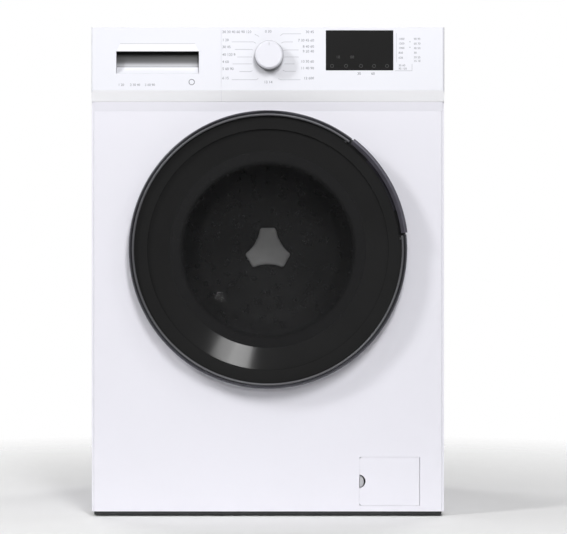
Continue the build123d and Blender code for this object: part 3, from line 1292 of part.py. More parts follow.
def damper_top():
    """Height where the damper rods meet the tub's lugs."""
    return AXIS_Z - sqrt(TUB_RADIUS ** 2 - DAMPER_OFFSET ** 2) - 26


def damper_cylinders():
    """Four upright damper cylinders on the base tray."""
    cylinders = []
    for x in (-DAMPER_OFFSET, DAMPER_OFFSET):
        for depth in DAMPER_DEPTHS:
            y = behind(depth)
            z0 = damper_base()
            tube = rod_z(DAMPER_RADIUS, x, y, z0, z0 + DAMPER_CYLINDER)
            tube -= rod_z(DAMPER_ROD_RADIUS + 1.2, x, y, z0 + 6, z0 + DAMPER_CYLINDER + 1)
            cylinders.append(tube)
    return cylinders


def damper_rods():
    """Four damper rods hung from the tub, reaching into the cylinders."""
    rods = []
    for x in (-DAMPER_OFFSET, DAMPER_OFFSET):
        for depth in DAMPER_DEPTHS:
            z0 = damper_base() + 6 + TUB_TRAVEL + 14
            rods.append(rod_z(DAMPER_ROD_RADIUS, x, behind(depth), z0, damper_top()))
    return rods


def motor_lugs():
    """Hangers under the tub that carry the motor's ears."""
    lugs = []
    for depth in motor_ears():
        for x in (-HEATER_SPREAD - 32, HEATER_SPREAD + 32):
            z_low = MOTOR_Z + 10
            surface = AXIS_Z - sqrt(TUB_RADIUS ** 2 - x ** 2)
            lug = block(x - 5, x + 5, behind(depth) - 7, behind(depth) + 7, z_low, surface + 10)
            lug -= on_axis(rod_y(TUB_RADIUS - TUB_WALL, 0, behind(depth) - 8, behind(depth) + 8, 0))
            lugs.append(lug)
    group = lugs[0]
    for lug in lugs[1:]:
        group += lug
    return group


def motor_ears():
    """Depths of the motor's two rows of ears, both under the tub's wall."""
    return motor_front() + MOTOR_EAR_SET, TUB_BACK - MOTOR_EAR_SET


def motor_front():
    """Depth of the motor's front end, set back from its pulley."""
    return PULLEY_MIDDLE - BELT_WIDTH / 2 - 20 - MOTOR_LENGTH


def motor_body():
    """The drive motor: stator pack, end bells, mounting ears and shaft bore."""
    z = MOTOR_Z
    y0 = behind(motor_front())
    y1 = y0 + MOTOR_LENGTH
    pack = rod_y(MOTOR_RADIUS, 0, y0 + 30, y1 - 32, z)
    bells = rod_y(MOTOR_RADIUS - 8, 0, y0, y0 + 30, z) + rod_y(MOTOR_RADIUS - 8, 0, y1 - 32, y1, z)
    body = pack + bells
    body = chamfer(body.edges().filter_by(GeomType.CIRCLE).sort_by(Axis.Y)[0], 6)
    reach = HEATER_SPREAD + 27
    for depth in motor_ears():
        body += block(-reach, reach, behind(depth) - 7, behind(depth) + 7, z + 12, z + 24)
    for step in range(10):
        vent = block(-3, 3, y1 - 26, y1 - 8, MOTOR_RADIUS - 14, MOTOR_RADIUS)
        body -= Pos(0, 0, z) * (Rot(0, step * 36, 0) * vent)
    return body - rod_y(MOTOR_SHAFT_RADIUS + RUNNING_FIT, 0, y0 + 20, y1 + 1, z)


def motor_pulley():
    """The motor's shaft with its small grooved pulley."""
    z = MOTOR_Z
    y1 = behind(motor_front() + MOTOR_LENGTH)
    y0 = y1 - 50
    end = behind(PULLEY_MIDDLE + BELT_WIDTH / 2 + 3)
    start = behind(PULLEY_MIDDLE - BELT_WIDTH / 2 - 3)
    r = MOTOR_PULLEY_RADIUS
    points = [(0, y0), (MOTOR_SHAFT_RADIUS, y0), (MOTOR_SHAFT_RADIUS, start), (r + 3, start)]
    points += [(r + 3, start + 2), (r, start + 3)]
    points += [(r, end - 3), (r + 3, end - 2), (r + 3, end), (0, end)]
    return Pos(0, 0, z) * turned(*points)


def drum_pulley():
    """The large pulley: rim, six tapered spokes and hub."""
    y0 = behind(PULLEY_DEPTH)
    y1 = y0 + PULLEY_WIDTH
    r = PULLEY_RADIUS
    rim = turned((r - PULLEY_RIM, y0), (r + 2, y0), (r, y0 + 1.5), (r, y1 - 1.5), (r + 2, y1),
                 (r - PULLEY_RIM, y1))
    hub = rod_y(24, 0, y0, y1, 0)
    wheel = rim + hub
    for step in range(PULLEY_SPOKES):
        spoke = Polygon((-13, 18), (13, 18), (8, r - PULLEY_RIM + 3), (-8, r - PULLEY_RIM + 3), align=None)
        wheel += Rot(0, step * 360 / PULLEY_SPOKES, 0) * front_plate(spoke, y0 + 5, y1 - 5)
    return on_axis(wheel - rod_y(SHAFT_REAR_RADIUS - 1.5, 0, y0 - 1, y1 + 1, 0))


def belt_loop(offset):
    """The outline of the belt round both pulleys, moved out by an offset, in X and Z."""
    big = PULLEY_RADIUS + offset
    small = MOTOR_PULLEY_RADIUS + offset
    span = AXIS_Z - MOTOR_Z
    lean = asin((big - small) / span)
    high = (big * cos(lean), AXIS_Z - big * sin(lean))
    low = (small * cos(lean), MOTOR_Z - small * sin(lean))
    with BuildSketch() as loop:
        with BuildLine():
            Line(low, high)
            ThreePointArc(high, (0, AXIS_Z + big), (-high[0], high[1]))
            Line((-high[0], high[1]), (-low[0], low[1]))
            ThreePointArc((-low[0], low[1]), (0, MOTOR_Z - small), low)
        make_face()
    return loop.sketch


def drive_belt():
    """The flat belt round both pulleys."""
    band = belt_loop(BELT_CLEARANCE + BELT_THICKNESS) - belt_loop(BELT_CLEARANCE)
    return front_plate(band, behind(PULLEY_MIDDLE - BELT_WIDTH / 2), behind(PULLEY_MIDDLE + BELT_WIDTH / 2))


def drum_shell():
    """The drum: pierced wall, turned-in mouth, stepped back with the raised three-lobed hub."""
    r = DRUM_RADIUS
    t = DRUM_WALL
    mouth = DRUM_MOUTH_RADIUS
    front = DRUM_FRONT
    back = DRUM_BACK
    slope = DRUM_FRONT_SLOPE
    shell = turned((mouth, behind(front + DRUM_LIP)), (mouth, behind(front)), (mouth + t, behind(front)),
                   (r - 12, behind(front + slope - 4)), (r, behind(front + slope + 6)), (r, behind(back)),
                   (0, behind(back)), (0, behind(back - t)), (r - t, behind(back - t)),
                   (r - t, behind(front + slope + 7)),
                   (r - 12 - t, behind(front + slope - 3)), (mouth + t, behind(front + t)),
                   (mouth + t, behind(front + DRUM_LIP)))
    field = 360 / LIFTER_COUNT
    wall_start = front + slope + 30
    row_step = (back - 34 - wall_start) / (HOLE_ROWS - 1)
    cutter = Rot(0, 0, 30) * Pos(0, 0, r - 4) * extrude(RegularPolygon(HOLE_RADIUS, 6), 8)
    holes = []
    for lifter in range(LIFTER_COUNT):
        for column in range(HOLES_PER_FIELD):
            for row in range(HOLE_ROWS):
                offset = 0.5 if row % 2 else 0.0
                angle = (lifter + (column + 0.75 + offset) / (HOLES_PER_FIELD + 1)) * field
                holes.append(Rot(0, angle, 0) * Pos(0, behind(wall_start + row * row_step), 0) * cutter)
    shell -= holes
    return on_axis(shell + hub_lobes())


def hub_lobes():
    """The raised three-lobed hub in the middle of the drum's back."""
    star = Circle(HUB_LOBE_RADIUS * 0.9)
    for step in range(LIFTER_COUNT):
        star += Rot(0, 0, 90 + step * 120) * Pos(HUB_LOBE_REACH, 0) * Circle(HUB_LOBE_RADIUS)
    top = behind(DRUM_BACK - DRUM_WALL - HUB_PROUD)
    boss = front_plate(star, top, behind(DRUM_BACK - DRUM_WALL))
    return fillet(boss.faces().sort_by(Axis.Y)[0].edges(), 3)


def drum_lifters():
    """Three paddles inside the drum, rounded and tapered along their length."""
    seat = DRUM_RADIUS - DRUM_WALL
    middle = (DRUM_FRONT + DRUM_FRONT_SLOPE + DRUM_BACK) / 2
    paddles = []
    for step in range(LIFTER_COUNT):
        foot_half = LIFTER_FOOT / 2
        crest = LIFTER_CREST / 2
        sag = sqrt(seat ** 2 - foot_half ** 2)
        outline = Polygon((-foot_half, sag), (-foot_half, seat), (foot_half, seat), (foot_half, sag),
                          (crest, sag - LIFTER_HEIGHT), (-crest, sag - LIFTER_HEIGHT), align=None)
        paddle = front_plate(outline, behind(middle - LIFTER_LENGTH / 2), behind(middle + LIFTER_LENGTH / 2))
        paddle &= rod_y(seat, 0, behind(DRUM_FRONT), behind(DRUM_BACK), 0)
        crest_edges = [edge for edge in paddle.edges().filter_by(Axis.Y)
                       if edge.center().Z < sag - LIFTER_HEIGHT / 2]
        paddle = fillet(crest_edges, crest * 0.8)
        wall = LIFTER_WALL
        inside = foot_half - 2 * wall
        ridge = sag - LIFTER_HEIGHT + wall
        hollow = Polygon((-inside, sag), (-inside, seat + 1), (inside, seat + 1), (inside, sag),
                         (crest - wall, ridge), (-crest + wall, ridge), align=None)
        reach = LIFTER_LENGTH / 2 - wall
        paddle -= front_plate(hollow, behind(middle - reach), behind(middle + reach))
        paddles.append(on_axis(Rot(0, step * 360 / LIFTER_COUNT, 0) * paddle))
    return paddles


def drum_spider():
    """The cast three-armed spider between the drum's back and the shaft."""
    y0 = behind(DRUM_BACK)
    y1 = behind(SPIDER_BACK)
    spider = rod_y(SPIDER_HUB_RADIUS, 0, y0, y1, 0)
    for step in range(LIFTER_COUNT):
        reach = DRUM_RADIUS - 5
        tip = SPIDER_ARM / 2
        arm = Polygon((-SPIDER_ARM, 10), (SPIDER_ARM, 10), (tip, reach), (-tip, reach), align=None)
        plate = front_plate(arm, y0, y1 - 6)
        rib = side_profile([(y0, 20), (y1, 20), (y1 - 5, reach), (y0, reach)], -4, 4)
        spider += Rot(0, step * 360 / LIFTER_COUNT, 0) * (plate + rib)
    return on_axis(spider - rod_y(SHAFT_FRONT_RADIUS, 0, y0 - 1, y1 + 1, 0))


def drum_shaft():
    """The stepped drum shaft with its pulley bolt."""
    y0 = behind(DRUM_BACK)
    step = behind(REAR_BEARING - REAR_BEARING_WIDTH / 2 - 3)
    pulley = behind(PULLEY_DEPTH)
    end = pulley + PULLEY_WIDTH
    tip = SHAFT_REAR_RADIUS - 1.5
    shaft = turned((0, y0), (SHAFT_FRONT_RADIUS, y0), (SHAFT_FRONT_RADIUS, step), (SHAFT_REAR_RADIUS, step),
                   (SHAFT_REAR_RADIUS, pulley), (tip, pulley), (tip, end), (0, end))
    bolt = front_plate(RegularPolygon(SHAFT_REAR_RADIUS - 1, 6), end, end + 8)
    washer = rod_y(SHAFT_REAR_RADIUS + 4, 0, end, end + 2.5, 0)
    return on_axis(shaft + bolt + washer)


def drum_bearings():
    """Two ball bearings and the lip seal ahead of them."""
    fit = RUNNING_FIT
    pieces = []
    places = ((FRONT_BEARING, FRONT_BEARING_WIDTH, FRONT_BEARING_RADIUS, SHAFT_FRONT_RADIUS),
              (REAR_BEARING, REAR_BEARING_WIDTH, REAR_BEARING_RADIUS, SHAFT_REAR_RADIUS))
    for middle, width, radius, shaft in places:
        y0 = behind(middle - width / 2)
        y1 = behind(middle + width / 2)
        groove = radius - 7
        inner = shaft + fit
        lip = inner + 5
        ring = turned((inner, y0), (lip, y0), (lip, y0 + 1), (groove, y0 + 1), (groove, y0), (radius, y0),
                      (radius, y1), (groove, y1), (groove, y1 - 1), (lip, y1 - 1), (lip, y1), (inner, y1))
        pieces.append(on_axis(ring))
    seal_back = behind(FRONT_BEARING - FRONT_BEARING_WIDTH / 2)
    seal_front = seal_back - SEAL_WIDTH
    shaft = SHAFT_FRONT_RADIUS + fit
    seal = turned((shaft, seal_front + 3), (FRONT_BEARING_RADIUS, seal_front),
                  (FRONT_BEARING_RADIUS, seal_back), (shaft, seal_back - 2))
    pieces.append(on_axis(seal))
    return pieces


def counterweights():
    """Two concrete blocks bolted round the mouth of the tub, above and below."""
    y1 = behind(TUB_FRONT)
    y0 = y1 - WEIGHT_DEPTH
    outer = TUB_RADIUS - WEIGHT_INSET
    blocks = []
    for turn in (90, -90):
        ring = turned((outer - WEIGHT_BREADTH, y0), (outer, y0), (outer, y1), (outer - WEIGHT_BREADTH, y1))
        part = ring & sector(WEIGHT_SPAN / 2, TUB_RADIUS, y0 - 1, y1 + 1)
        blocks.append(on_axis(Rot(0, -turn, 0) * part))
    return blocks


def wash_heater():
    """The looped heating rod in the tub's well, on its terminal flange."""
    z = AXIS_Z - TUB_RADIUS - 1
    y1 = behind(TUB_BACK - 30)
    y0 = behind(TUB_JOINT + HEATER_START)
    half = HEATER_SPREAD * 0.6
    rods = rod_y(HEATER_ROD_RADIUS, -half, y0, y1, z) + rod_y(HEATER_ROD_RADIUS, half, y0, y1, z)
    rods += rod_x(HEATER_ROD_RADIUS, -half - HEATER_ROD_RADIUS, half + HEATER_ROD_RADIUS, y0, z)
    return rods + block(-half - 8, half + 8, y1 - 2, y1 + 4, z - 7, z + 7)


# Draining

def flap_axis_x():
    """The x of the flap's hinge pins."""
    return FLAP_LEFT + FLAP_WIDTH - FLAP_PIN_RADIUS - 0.4


def flap_axis_y():
    """The y of the flap's hinge pins."""
    return PANEL_Y + FLAP_PIN_RADIUS + 0.3


def filter_flap():
    """The pump filter's flap, with its finger slot at the left and pins at the right."""
    x0 = FLAP_LEFT
    x1 = FLAP_LEFT + FLAP_WIDTH
    z0 = FLAP_BOTTOM
    z1 = z0 + FLAP_HEIGHT
    plate = block(x0, x1, PANEL_Y, PANEL_Y + FLAP_THICKNESS, z0, z1)
    left_edges = plate.edges().filter_by(Axis.Y).sort_by(Axis.X)[:2]
    plate = fillet(left_edges, FLAP_CORNER)
    hinge_edge = [edge for edge in plate.edges().filter_by(Axis.Z)
                  if edge.center().X > x1 - 0.01 and edge.center().Y < PANEL_Y + 0.01]
    plate = fillet(hinge_edge, FLAP_PIN_RADIUS)
    rim = block(x0 + 6, x1 - 6, PANEL_Y + FLAP_THICKNESS, PANEL_Y + FLAP_THICKNESS + 4, z0 + 5, z1 - 5)
    rim -= block(x0 + 8, x1 - 8, PANEL_Y, PANEL_Y + FLAP_THICKNESS + 5, z0 + 7, z1 - 7)
    plate += rim
    middle = (z0 + z1) / 2
    radius = SLOT_HEIGHT / 2
    scoop = rod_y(radius, x0 - radius + SLOT_DEPTH, PANEL_Y - 1, PANEL_Y + FLAP_THICKNESS + 5, middle)
    plate -= scoop
    inside = rod_y(radius + 1.5, x0 - radius + SLOT_DEPTH, PANEL_Y, PANEL_Y + 8, middle)
    wall = inside - rod_y(radius, x0 - radius + SLOT_DEPTH, PANEL_Y - 1, PANEL_Y + 9, middle)
    wall &= block(x0 + 1, x0 + 20, PANEL_Y, PANEL_Y + 8, z0, z1)
    plate += wall
    pin = rod_z(FLAP_PIN_RADIUS, flap_axis_x(), flap_axis_y(), z0 - 1.2, z1 + 1.2)
    return plate + pin


def drain_pump():
    """The pump: filter chamber, volute, outlet and motor in one housing."""
    z = PUMP_Z
    x = PUMP_X
    front = behind(FILTER_DEPTH)
    chamber_end = front + FILTER_LENGTH
    volute_end = chamber_end + 24
    r = FILTER_BORE_RADIUS + PUMP_WALL
    pump = rod_y(r, x, front, volute_end, z)
    pump += block(x - 34, x + 34, front, front + 4, z - 34, z + 38)
    pump += rod_y(PUMP_MOTOR_RADIUS, x, volute_end, volute_end + PUMP_MOTOR_LENGTH, z)
    pump += rod_z(11, x, chamber_end + 12, z, z + r + 22)
    pump += rod_x(14, x - r - 26, x, chamber_end - 22, z + 10)
    pump -= rod_y(FILTER_BORE_RADIUS, x, front - 1, chamber_end, z)
    pump -= rod_y(IMPELLER_RADIUS + 4, x, chamber_end - 1, volute_end - 3, z)
    pump -= rod_z(8, x, chamber_end + 12, z, z + r + 23)
    pump -= rod_x(11, x - r - 27, x, chamber_end - 22, z + 10)
    return pump


def pump_impeller():
    """The small four-vaned impeller."""
    front = behind(FILTER_DEPTH) + FILTER_LENGTH + 3
    wheel = rod_y(IMPELLER_RADIUS - 2, 0, front + 13, front + 16, 0) + rod_y(6, 0, front, front + 16, 0)
    for step in range(4):
        wheel += Rot(0, step * 90, 0) * block(0, IMPELLER_RADIUS, front + 2, front + 14, -1.2, 1.2)
    return Pos(PUMP_X, 0, PUMP_Z) * wheel


def pump_filter():
    """The turn-out filter: a grip, a cap and an open basket."""
    front = behind(FILTER_DEPTH) - 1
    r = FILTER_CAP_RADIUS
    plug = rod_y(r, 0, front, front + 9, 0)
    plug += block(-r + 4, r - 4, front - 6, front, -4, 4)
    basket = rod_y(r - 6, 0, front + 9, front + FILTER_LENGTH - 8, 0)
    basket -= rod_y(r - 9, 0, front + 12, front + FILTER_LENGTH, 0)
    plug += basket
    for step in range(3):
        y = front + 20 + step * 18
        plug -= block(-r, r, y, y + 9, -6, 6)
        plug -= block(-6, 6, y, y + 9, -r, r)
    return Pos(PUMP_X, 0, PUMP_Z) * plug


def filter_seal():
    """The filter's collar with its seal ring, which moves out with the filter but doesn't turn."""
    front = behind(FILTER_DEPTH) - 1
    inner = FILTER_CAP_RADIUS - 6 + 0.3
    outer = FILTER_BORE_RADIUS - 0.3
    ring = turned((inner, front + 9.4), (outer, front + 9.4), (outer, front + 13), (inner, front + 13))
    return Pos(PUMP_X, 0, PUMP_Z) * ring


def hose(points, radius, bore, bend):
    """A hose along straight runs joined by arcs."""
    path = FilletPolyline(*points, radius=bend)
    start = Plane(origin=path @ 0, z_dir=path % 0)
    return sweep(start * (Circle(radius) - Circle(bore)), path)


def water_hoses():
    """The dispenser's hose, the sump hose and the drain hose up to its spigot."""
    x, y = dispenser_outlet()
    _, _, _, _, z0, _ = housing_box()
    low = dispenser_spigot_height()
    first = rod_z(15.5, x, y, low, z0 - 1) - rod_z(13.2, x, y, low - 1, z0)
    sump_y = behind(FILTER_DEPTH) + FILTER_LENGTH - 22
    pump_left = PUMP_X - FILTER_BORE_RADIUS - PUMP_WALL - 26
    z = PUMP_Z + 10
    tub_y = behind(SUMP_DEPTH)
    second = hose([(pump_left - 0.5, sump_y, z), (SUMP_X, sump_y, z), (SUMP_X, tub_y, z + 6),
                   (SUMP_X, tub_y, sump_height() - 2)], SUMP_RADIUS + 3, SUMP_RADIUS + 0.2, 26)
    pump_out = PUMP_Z + FILTER_BORE_RADIUS + PUMP_WALL + 22.5
    out_y = behind(FILTER_DEPTH) + FILTER_LENGTH + 12
    side_x = HALF_WIDTH - 28
    rear = REAR_Y - 46
    top = HEIGHT - DRAIN_DROP
    third = hose([(PUMP_X, out_y, pump_out), (PUMP_X, out_y, pump_out + 30), (side_x, out_y, pump_out + 50),
                  (side_x, rear, pump_out + 70), (side_x, rear, top), (DRAIN_X, rear, top),
                  (DRAIN_X, REAR_Y - DRAIN_SPIGOT_REACH - 0.5, top)],
                 DRAIN_SPIGOT_RADIUS, DRAIN_SPIGOT_RADIUS - 2, 12)
    supply_start = housing_box()[3] + 0.5
    supply_end = valve_front() - 0.5
    supply = rod_y(VALVE_STUB_RADIUS + 3, INLET_X, supply_start, supply_end, HEIGHT - INLET_DROP)
    supply -= rod_y(VALVE_STUB_RADIUS + 0.2, INLET_X, supply_start - 1, supply_end + 1, HEIGHT - INLET_DROP)
    return [first, second, third, supply]


# Drying and rear connections

def drying_duct():
    """The drying air duct on the tub: fan scroll, heater box, front nozzle and rear riser."""
    low, top = duct_levels()
    y0 = behind(DUCT_FRONT)
    y1 = behind(DUCT_REAR)
    wall = DUCT_WALL
    fan_y = behind(FAN_DEPTH)
    scroll = rod_z(FAN_RADIUS + 14, FAN_X, fan_y, low, top)
    box = block(DUCT_LEFT, FAN_X - 20, fan_y - 48, fan_y + 48, low, top)
    duct = scroll + box
    duct = fillet(duct.edges().filter_by(Axis.Z).sort_by(Axis.X)[:2], 14)
    duct -= rod_z(FAN_RADIUS + 14 - wall, FAN_X, fan_y, low + wall, top - wall)
    duct -= block(DUCT_LEFT + wall, FAN_X - 20, fan_y - 48 + wall, fan_y + 48 - wall, low + wall, top - wall)
    duct -= rod_z(FAN_MOTOR_RADIUS - 8, FAN_X, fan_y, top - wall - 1, top + 1)
    x0 = DUCT_LEFT + 6
    x1 = DUCT_LEFT + 76
    roof = top - 8
    duct += block(x0, x1, y0, fan_y - 47, low, roof)
    duct -= block(x0 + wall, x1 - wall, y0 + wall, fan_y - 44, low + wall, roof - wall)
    duct += block(DUCT_LEFT + 12, DUCT_LEFT + 70, y0 + 26, y0 + 64, AXIS_Z, low)
    riser_x = FAN_X - 16
    duct += rod_z(RISER_RADIUS, riser_x, y1 - 6, AXIS_Z, top - 10)
    duct -= rod_z(RISER_RADIUS - DUCT_WALL - 0.5, riser_x, y1 - 6, AXIS_Z, top - 13)
    duct -= on_axis(rod_y(TUB_RADIUS + TUB_GAP, 0, y0 - 1, y1 + 60, 0))
    flange = TUB_FLANGE_THICKNESS + TUB_GAP
    joint = TUB_RADIUS + TUB_FLANGE + TUB_GAP
    return duct - on_axis(rod_y(joint, 0, behind(TUB_JOINT - flange), behind(TUB_JOINT + flange), 0))


def duct_levels():
    """The duct's lowest and highest z."""
    top = TOP_UNDERSIDE - TUB_TRAVEL - DUCT_TOP_DROP
    return top - DUCT_HEIGHT, top


def fan_wheel():
    """The drying fan's blower wheel."""
    low, top = duct_levels()
    z0 = low + DUCT_WALL + 3
    z1 = z0 + FAN_HEIGHT
    y = behind(FAN_DEPTH)
    wheel = rod_z(FAN_RADIUS, 0, 0, z0, z0 + 2)
    wheel += rod_z(FAN_RADIUS, 0, 0, z1 - 2, z1) - rod_z(FAN_RADIUS - 14, 0, 0, z1 - 3, z1 + 1)
    wheel += rod_z(9, 0, 0, z0, z1 - 4)
    for step in range(FAN_BLADES):
        blade = Pos(FAN_RADIUS - 8, 0, (z0 + z1) / 2) * Rot(0, 0, 35) * Box(13, 1.4, FAN_HEIGHT - 1)
        wheel += Rot(0, 0, step * 360 / FAN_BLADES) * blade
    return Pos(FAN_X, y, 0) * wheel


def fan_motor():
    """The fan's motor on top of the scroll."""
    low, top = duct_levels()
    y = behind(FAN_DEPTH)
    motor = rod_z(FAN_MOTOR_RADIUS, FAN_X, y, top, top + 12)
    motor = chamfer(motor.edges().sort_by(Axis.Z)[-1], 4)
    stub = rod_z(6, FAN_X, y, low + DUCT_WALL + 3 + FAN_HEIGHT + 1, top)
    return motor + stub


def dryer_heater():
    """The drying heater: a finned rod grid in the duct."""
    low, top = duct_levels()
    y = behind(FAN_DEPTH)
    x0 = DUCT_LEFT + 90
    x1 = FAN_X - FAN_RADIUS - 34
    middle = (low + top) / 2
    grid = rod_x(4, x0, x1, y - 24, middle) + rod_x(4, x0, x1, y + 24, middle)
    for step in range(6):
        x = x0 + 4 + step * (x1 - x0 - 10) / 5
        grid += block(x, x + 1.6, y - 40, y + 40, low + DUCT_WALL + 3, top - DUCT_WALL - 3)
    return grid


def valve_front():
    """The y of the valve body's front face, which the supply hose comes to."""
    return REAR_Y - VALVE_NECK - VALVE_COLLAR - VALVE_LENGTH


def inlet_valve():
    """The water inlet valve behind the back panel, with its threaded connection."""
    z = HEIGHT - INLET_DROP
    x = INLET_X
    neck_y = REAR_Y - VALVE_NECK
    body_y = neck_y - VALVE_COLLAR
    half = VALVE_BODY / 2
    valve = rod_y(INLET_THREAD_RADIUS, x, REAR_Y - 1, REAR_Y + REAR_PROUD, z)
    valve += rod_y(INLET_THREAD_RADIUS + 2.2, x, neck_y, REAR_Y, z)
    valve += rod_y(INLET_THREAD_RADIUS + 6, x, body_y, neck_y, z)
    valve += block(x - half, x + half, valve_front(), body_y, z - half, z + half)
    valve += rod_y(VALVE_STUB_RADIUS, x, valve_front() - VALVE_STUB, valve_front(), z)
    valve -= rod_y(INLET_BORE_RADIUS, x, neck_y - 2, REAR_Y + REAR_PROUD + 1, z)
    return valve


def rear_outlets():
    """The drain spigot and the mains gland in the back panel."""
    z = HEIGHT - DRAIN_DROP
    inner_end = REAR_Y - DRAIN_SPIGOT_REACH
    spigot = rod_y(DRAIN_SPIGOT_RADIUS, DRAIN_X, inner_end, REAR_Y + REAR_PROUD, z)
    spigot += rod_y(DRAIN_SPIGOT_RADIUS + 6, DRAIN_X, REAR_Y - 4, REAR_Y - SHEET, z)
    spigot -= rod_y(DRAIN_SPIGOT_RADIUS - 2.5, DRAIN_X, inner_end - 1, REAR_Y + REAR_PROUD + 1, z)
    gz = HEIGHT - GLAND_DROP
    gland = rod_y(GLAND_RADIUS - 0.2, GLAND_X, REAR_Y - 10, REAR_Y, gz)
    gland += rod_y(GLAND_RADIUS + 3, GLAND_X, REAR_Y, REAR_Y + 6, gz)
    gland -= rod_y(4, GLAND_X, REAR_Y - 11, REAR_Y + 7, gz)
    return [spigot, gland]


def write_nodes():
    """Write each piece to its own file."""
    makers = [
        cabinet_wrap, worktop, front_panel, back_panel, base_tray, crossbars, cabinet_screws,
        transit_plugs, fascia, display_glass, programme_knob, control_module, drawer_front,
        drawer_tray, softener_siphon, dispenser_housing, door_trim_ring, door_cone, door_window,
        door_bowl, door_inner_frame, hinge_bracket, hinge_arm, door_handle, handle_spring,
        latch_hook, door_lock, door_gasket, tub_front, tub_rear, drum_shell, drum_lifters,
        drum_spider, drum_shaft, drum_bearings, drum_pulley, drive_belt, motor_body, motor_pulley,
        counterweights, suspension_springs, damper_cylinders, damper_rods, wash_heater, drain_pump,
        pump_impeller, pump_filter, filter_seal, filter_flap, water_hoses, drying_duct, fan_wheel,
        fan_motor, dryer_heater, inlet_valve, rear_outlets]
    nodes = {maker.__name__: maker() for maker in makers}
    for name, x, y in foot_places():
        nodes["foot_" + name] = foot(x, y)
    os.makedirs("parts", exist_ok=True)
    for name, shape in nodes.items():
        whole = Compound(children=shape) if isinstance(shape, list) else shape
        whole.label = name
        export_step(whole, "parts/" + name + ".step")


write_nodes()
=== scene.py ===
import math

import bmesh
import bpy
from mathutils import Matrix, Vector


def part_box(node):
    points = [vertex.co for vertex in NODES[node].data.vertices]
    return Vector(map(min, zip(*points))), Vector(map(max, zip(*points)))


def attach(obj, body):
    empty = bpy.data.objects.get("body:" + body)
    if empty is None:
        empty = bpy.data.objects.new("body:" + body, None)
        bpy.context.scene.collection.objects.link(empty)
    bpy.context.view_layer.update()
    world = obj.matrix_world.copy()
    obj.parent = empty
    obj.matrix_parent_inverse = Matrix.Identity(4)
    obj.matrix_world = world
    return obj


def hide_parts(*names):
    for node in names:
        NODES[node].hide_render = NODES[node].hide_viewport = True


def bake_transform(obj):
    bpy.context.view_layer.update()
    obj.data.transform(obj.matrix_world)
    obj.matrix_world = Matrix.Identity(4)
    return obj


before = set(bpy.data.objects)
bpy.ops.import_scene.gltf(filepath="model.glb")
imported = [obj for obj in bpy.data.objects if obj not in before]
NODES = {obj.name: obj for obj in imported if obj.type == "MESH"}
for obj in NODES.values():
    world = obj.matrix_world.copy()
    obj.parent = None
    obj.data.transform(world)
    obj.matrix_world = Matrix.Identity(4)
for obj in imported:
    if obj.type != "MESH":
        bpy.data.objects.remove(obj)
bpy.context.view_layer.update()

bl_info = {
    "name": "Washer dryer",
    "version": (1, 0, 0),
    "blender": (4, 5, 0),
    "location": "View3D > Sidebar > Washer dryer",
    "description": "Finishes, marks and wound pieces for a front-loading washer dryer, and its stage",
    "category": "Object",
}

FASCIA_LOW, FASCIA_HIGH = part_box("fascia")
DISPLAY_LOW, DISPLAY_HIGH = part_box("display_glass")
KNOB_LOW, KNOB_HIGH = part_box("programme_knob")
PANEL_LOW, PANEL_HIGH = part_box("front_panel")
DRAWER_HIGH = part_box("drawer_front")[1]
FLAP_LOW, FLAP_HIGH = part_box("filter_flap")
RING_LOW, RING_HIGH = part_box("door_trim_ring")
SPRING_LOW, SPRING_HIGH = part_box("suspension_springs")
DRUM_LOW, DRUM_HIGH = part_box("drum_shell")
AXIS_Z = (DRUM_LOW.z + DRUM_HIGH.z) / 2


# Sizes and colours that a user may change

def colour_prop(name, description, value):
    """A linear colour setting."""
    return bpy.props.FloatVectorProperty(name=name, description=description, default=value, size=3,
                                         min=0.0, max=1.0, subtype="COLOR")


def length_prop(name, description, value):
    """A length setting in metres."""
    return bpy.props.FloatProperty(name=name, description=description, default=value, min=0.0,
                                   subtype="DISTANCE", unit="LENGTH")


def strength_prop(name, description, value):
    """A setting for the strength of a light."""
    return bpy.props.FloatProperty(name=name, description=description, default=value, min=0.0)


class WasherColours(bpy.types.PropertyGroup):
    """Colours of the machine's finishes."""

    enamel: colour_prop("Enamel", "White enamel of the sheet steel casing", (0.81, 0.803, 0.865))
    moulding: colour_prop("Moulding", "White of the fascia and the drawer front", (0.82, 0.825, 0.88))
    board: colour_prop("Worktop", "White laminate of the worktop", (0.84, 0.84, 0.87))
    # Partly painted shade: the knob's side is a dark skirt, painted darker still for the shade under the knob
    knob_side_shade: colour_prop("Knob side", "Dark skirt of the knob, painted darker for the shade on its side", (0.045, 0.045, 0.055))
    gloss_black: colour_prop("Gloss black", "Dished cover of the door", (0.0182, 0.0182, 0.0184))
    window: colour_prop("Window", "Smoked window of the door", (0.014, 0.014, 0.0145))
    display: colour_prop("Display", "Touch glass of the display", (0.018, 0.018, 0.018))
    trim: colour_prop("Trim", "Dark plated ring of the door", (0.075, 0.075, 0.085))
    # Partly painted highlight: a real bead whose paler, duller finish stands in for the highlight along the
    # ring's nose
    bright: colour_prop("Bright line", "Bead on the ring's inner edge, paler to paint its highlight", (0.125, 0.125, 0.135))
    handle: colour_prop("Handle", "Dark satin handle of the door", (0.105, 0.100, 0.125))
    hub: colour_prop("Hub", "Pale grey hub cap of the drum", (0.88, 0.88, 0.88))
    ink: colour_prop("Ink", "Grey ink of the numbers", (0.20, 0.20, 0.23))
    fine_ink: colour_prop("Fine ink", "Paler ink of the lines", (0.38, 0.38, 0.42))
    steel: colour_prop("Steel", "Stainless steel of the drum", (0.52, 0.52, 0.53))
    tub: colour_prop("Tub", "Pale grey plastic of the tub", (0.52, 0.53, 0.55))
    rubber: colour_prop("Rubber", "Grey rubber of the door seal", (0.30, 0.31, 0.32))


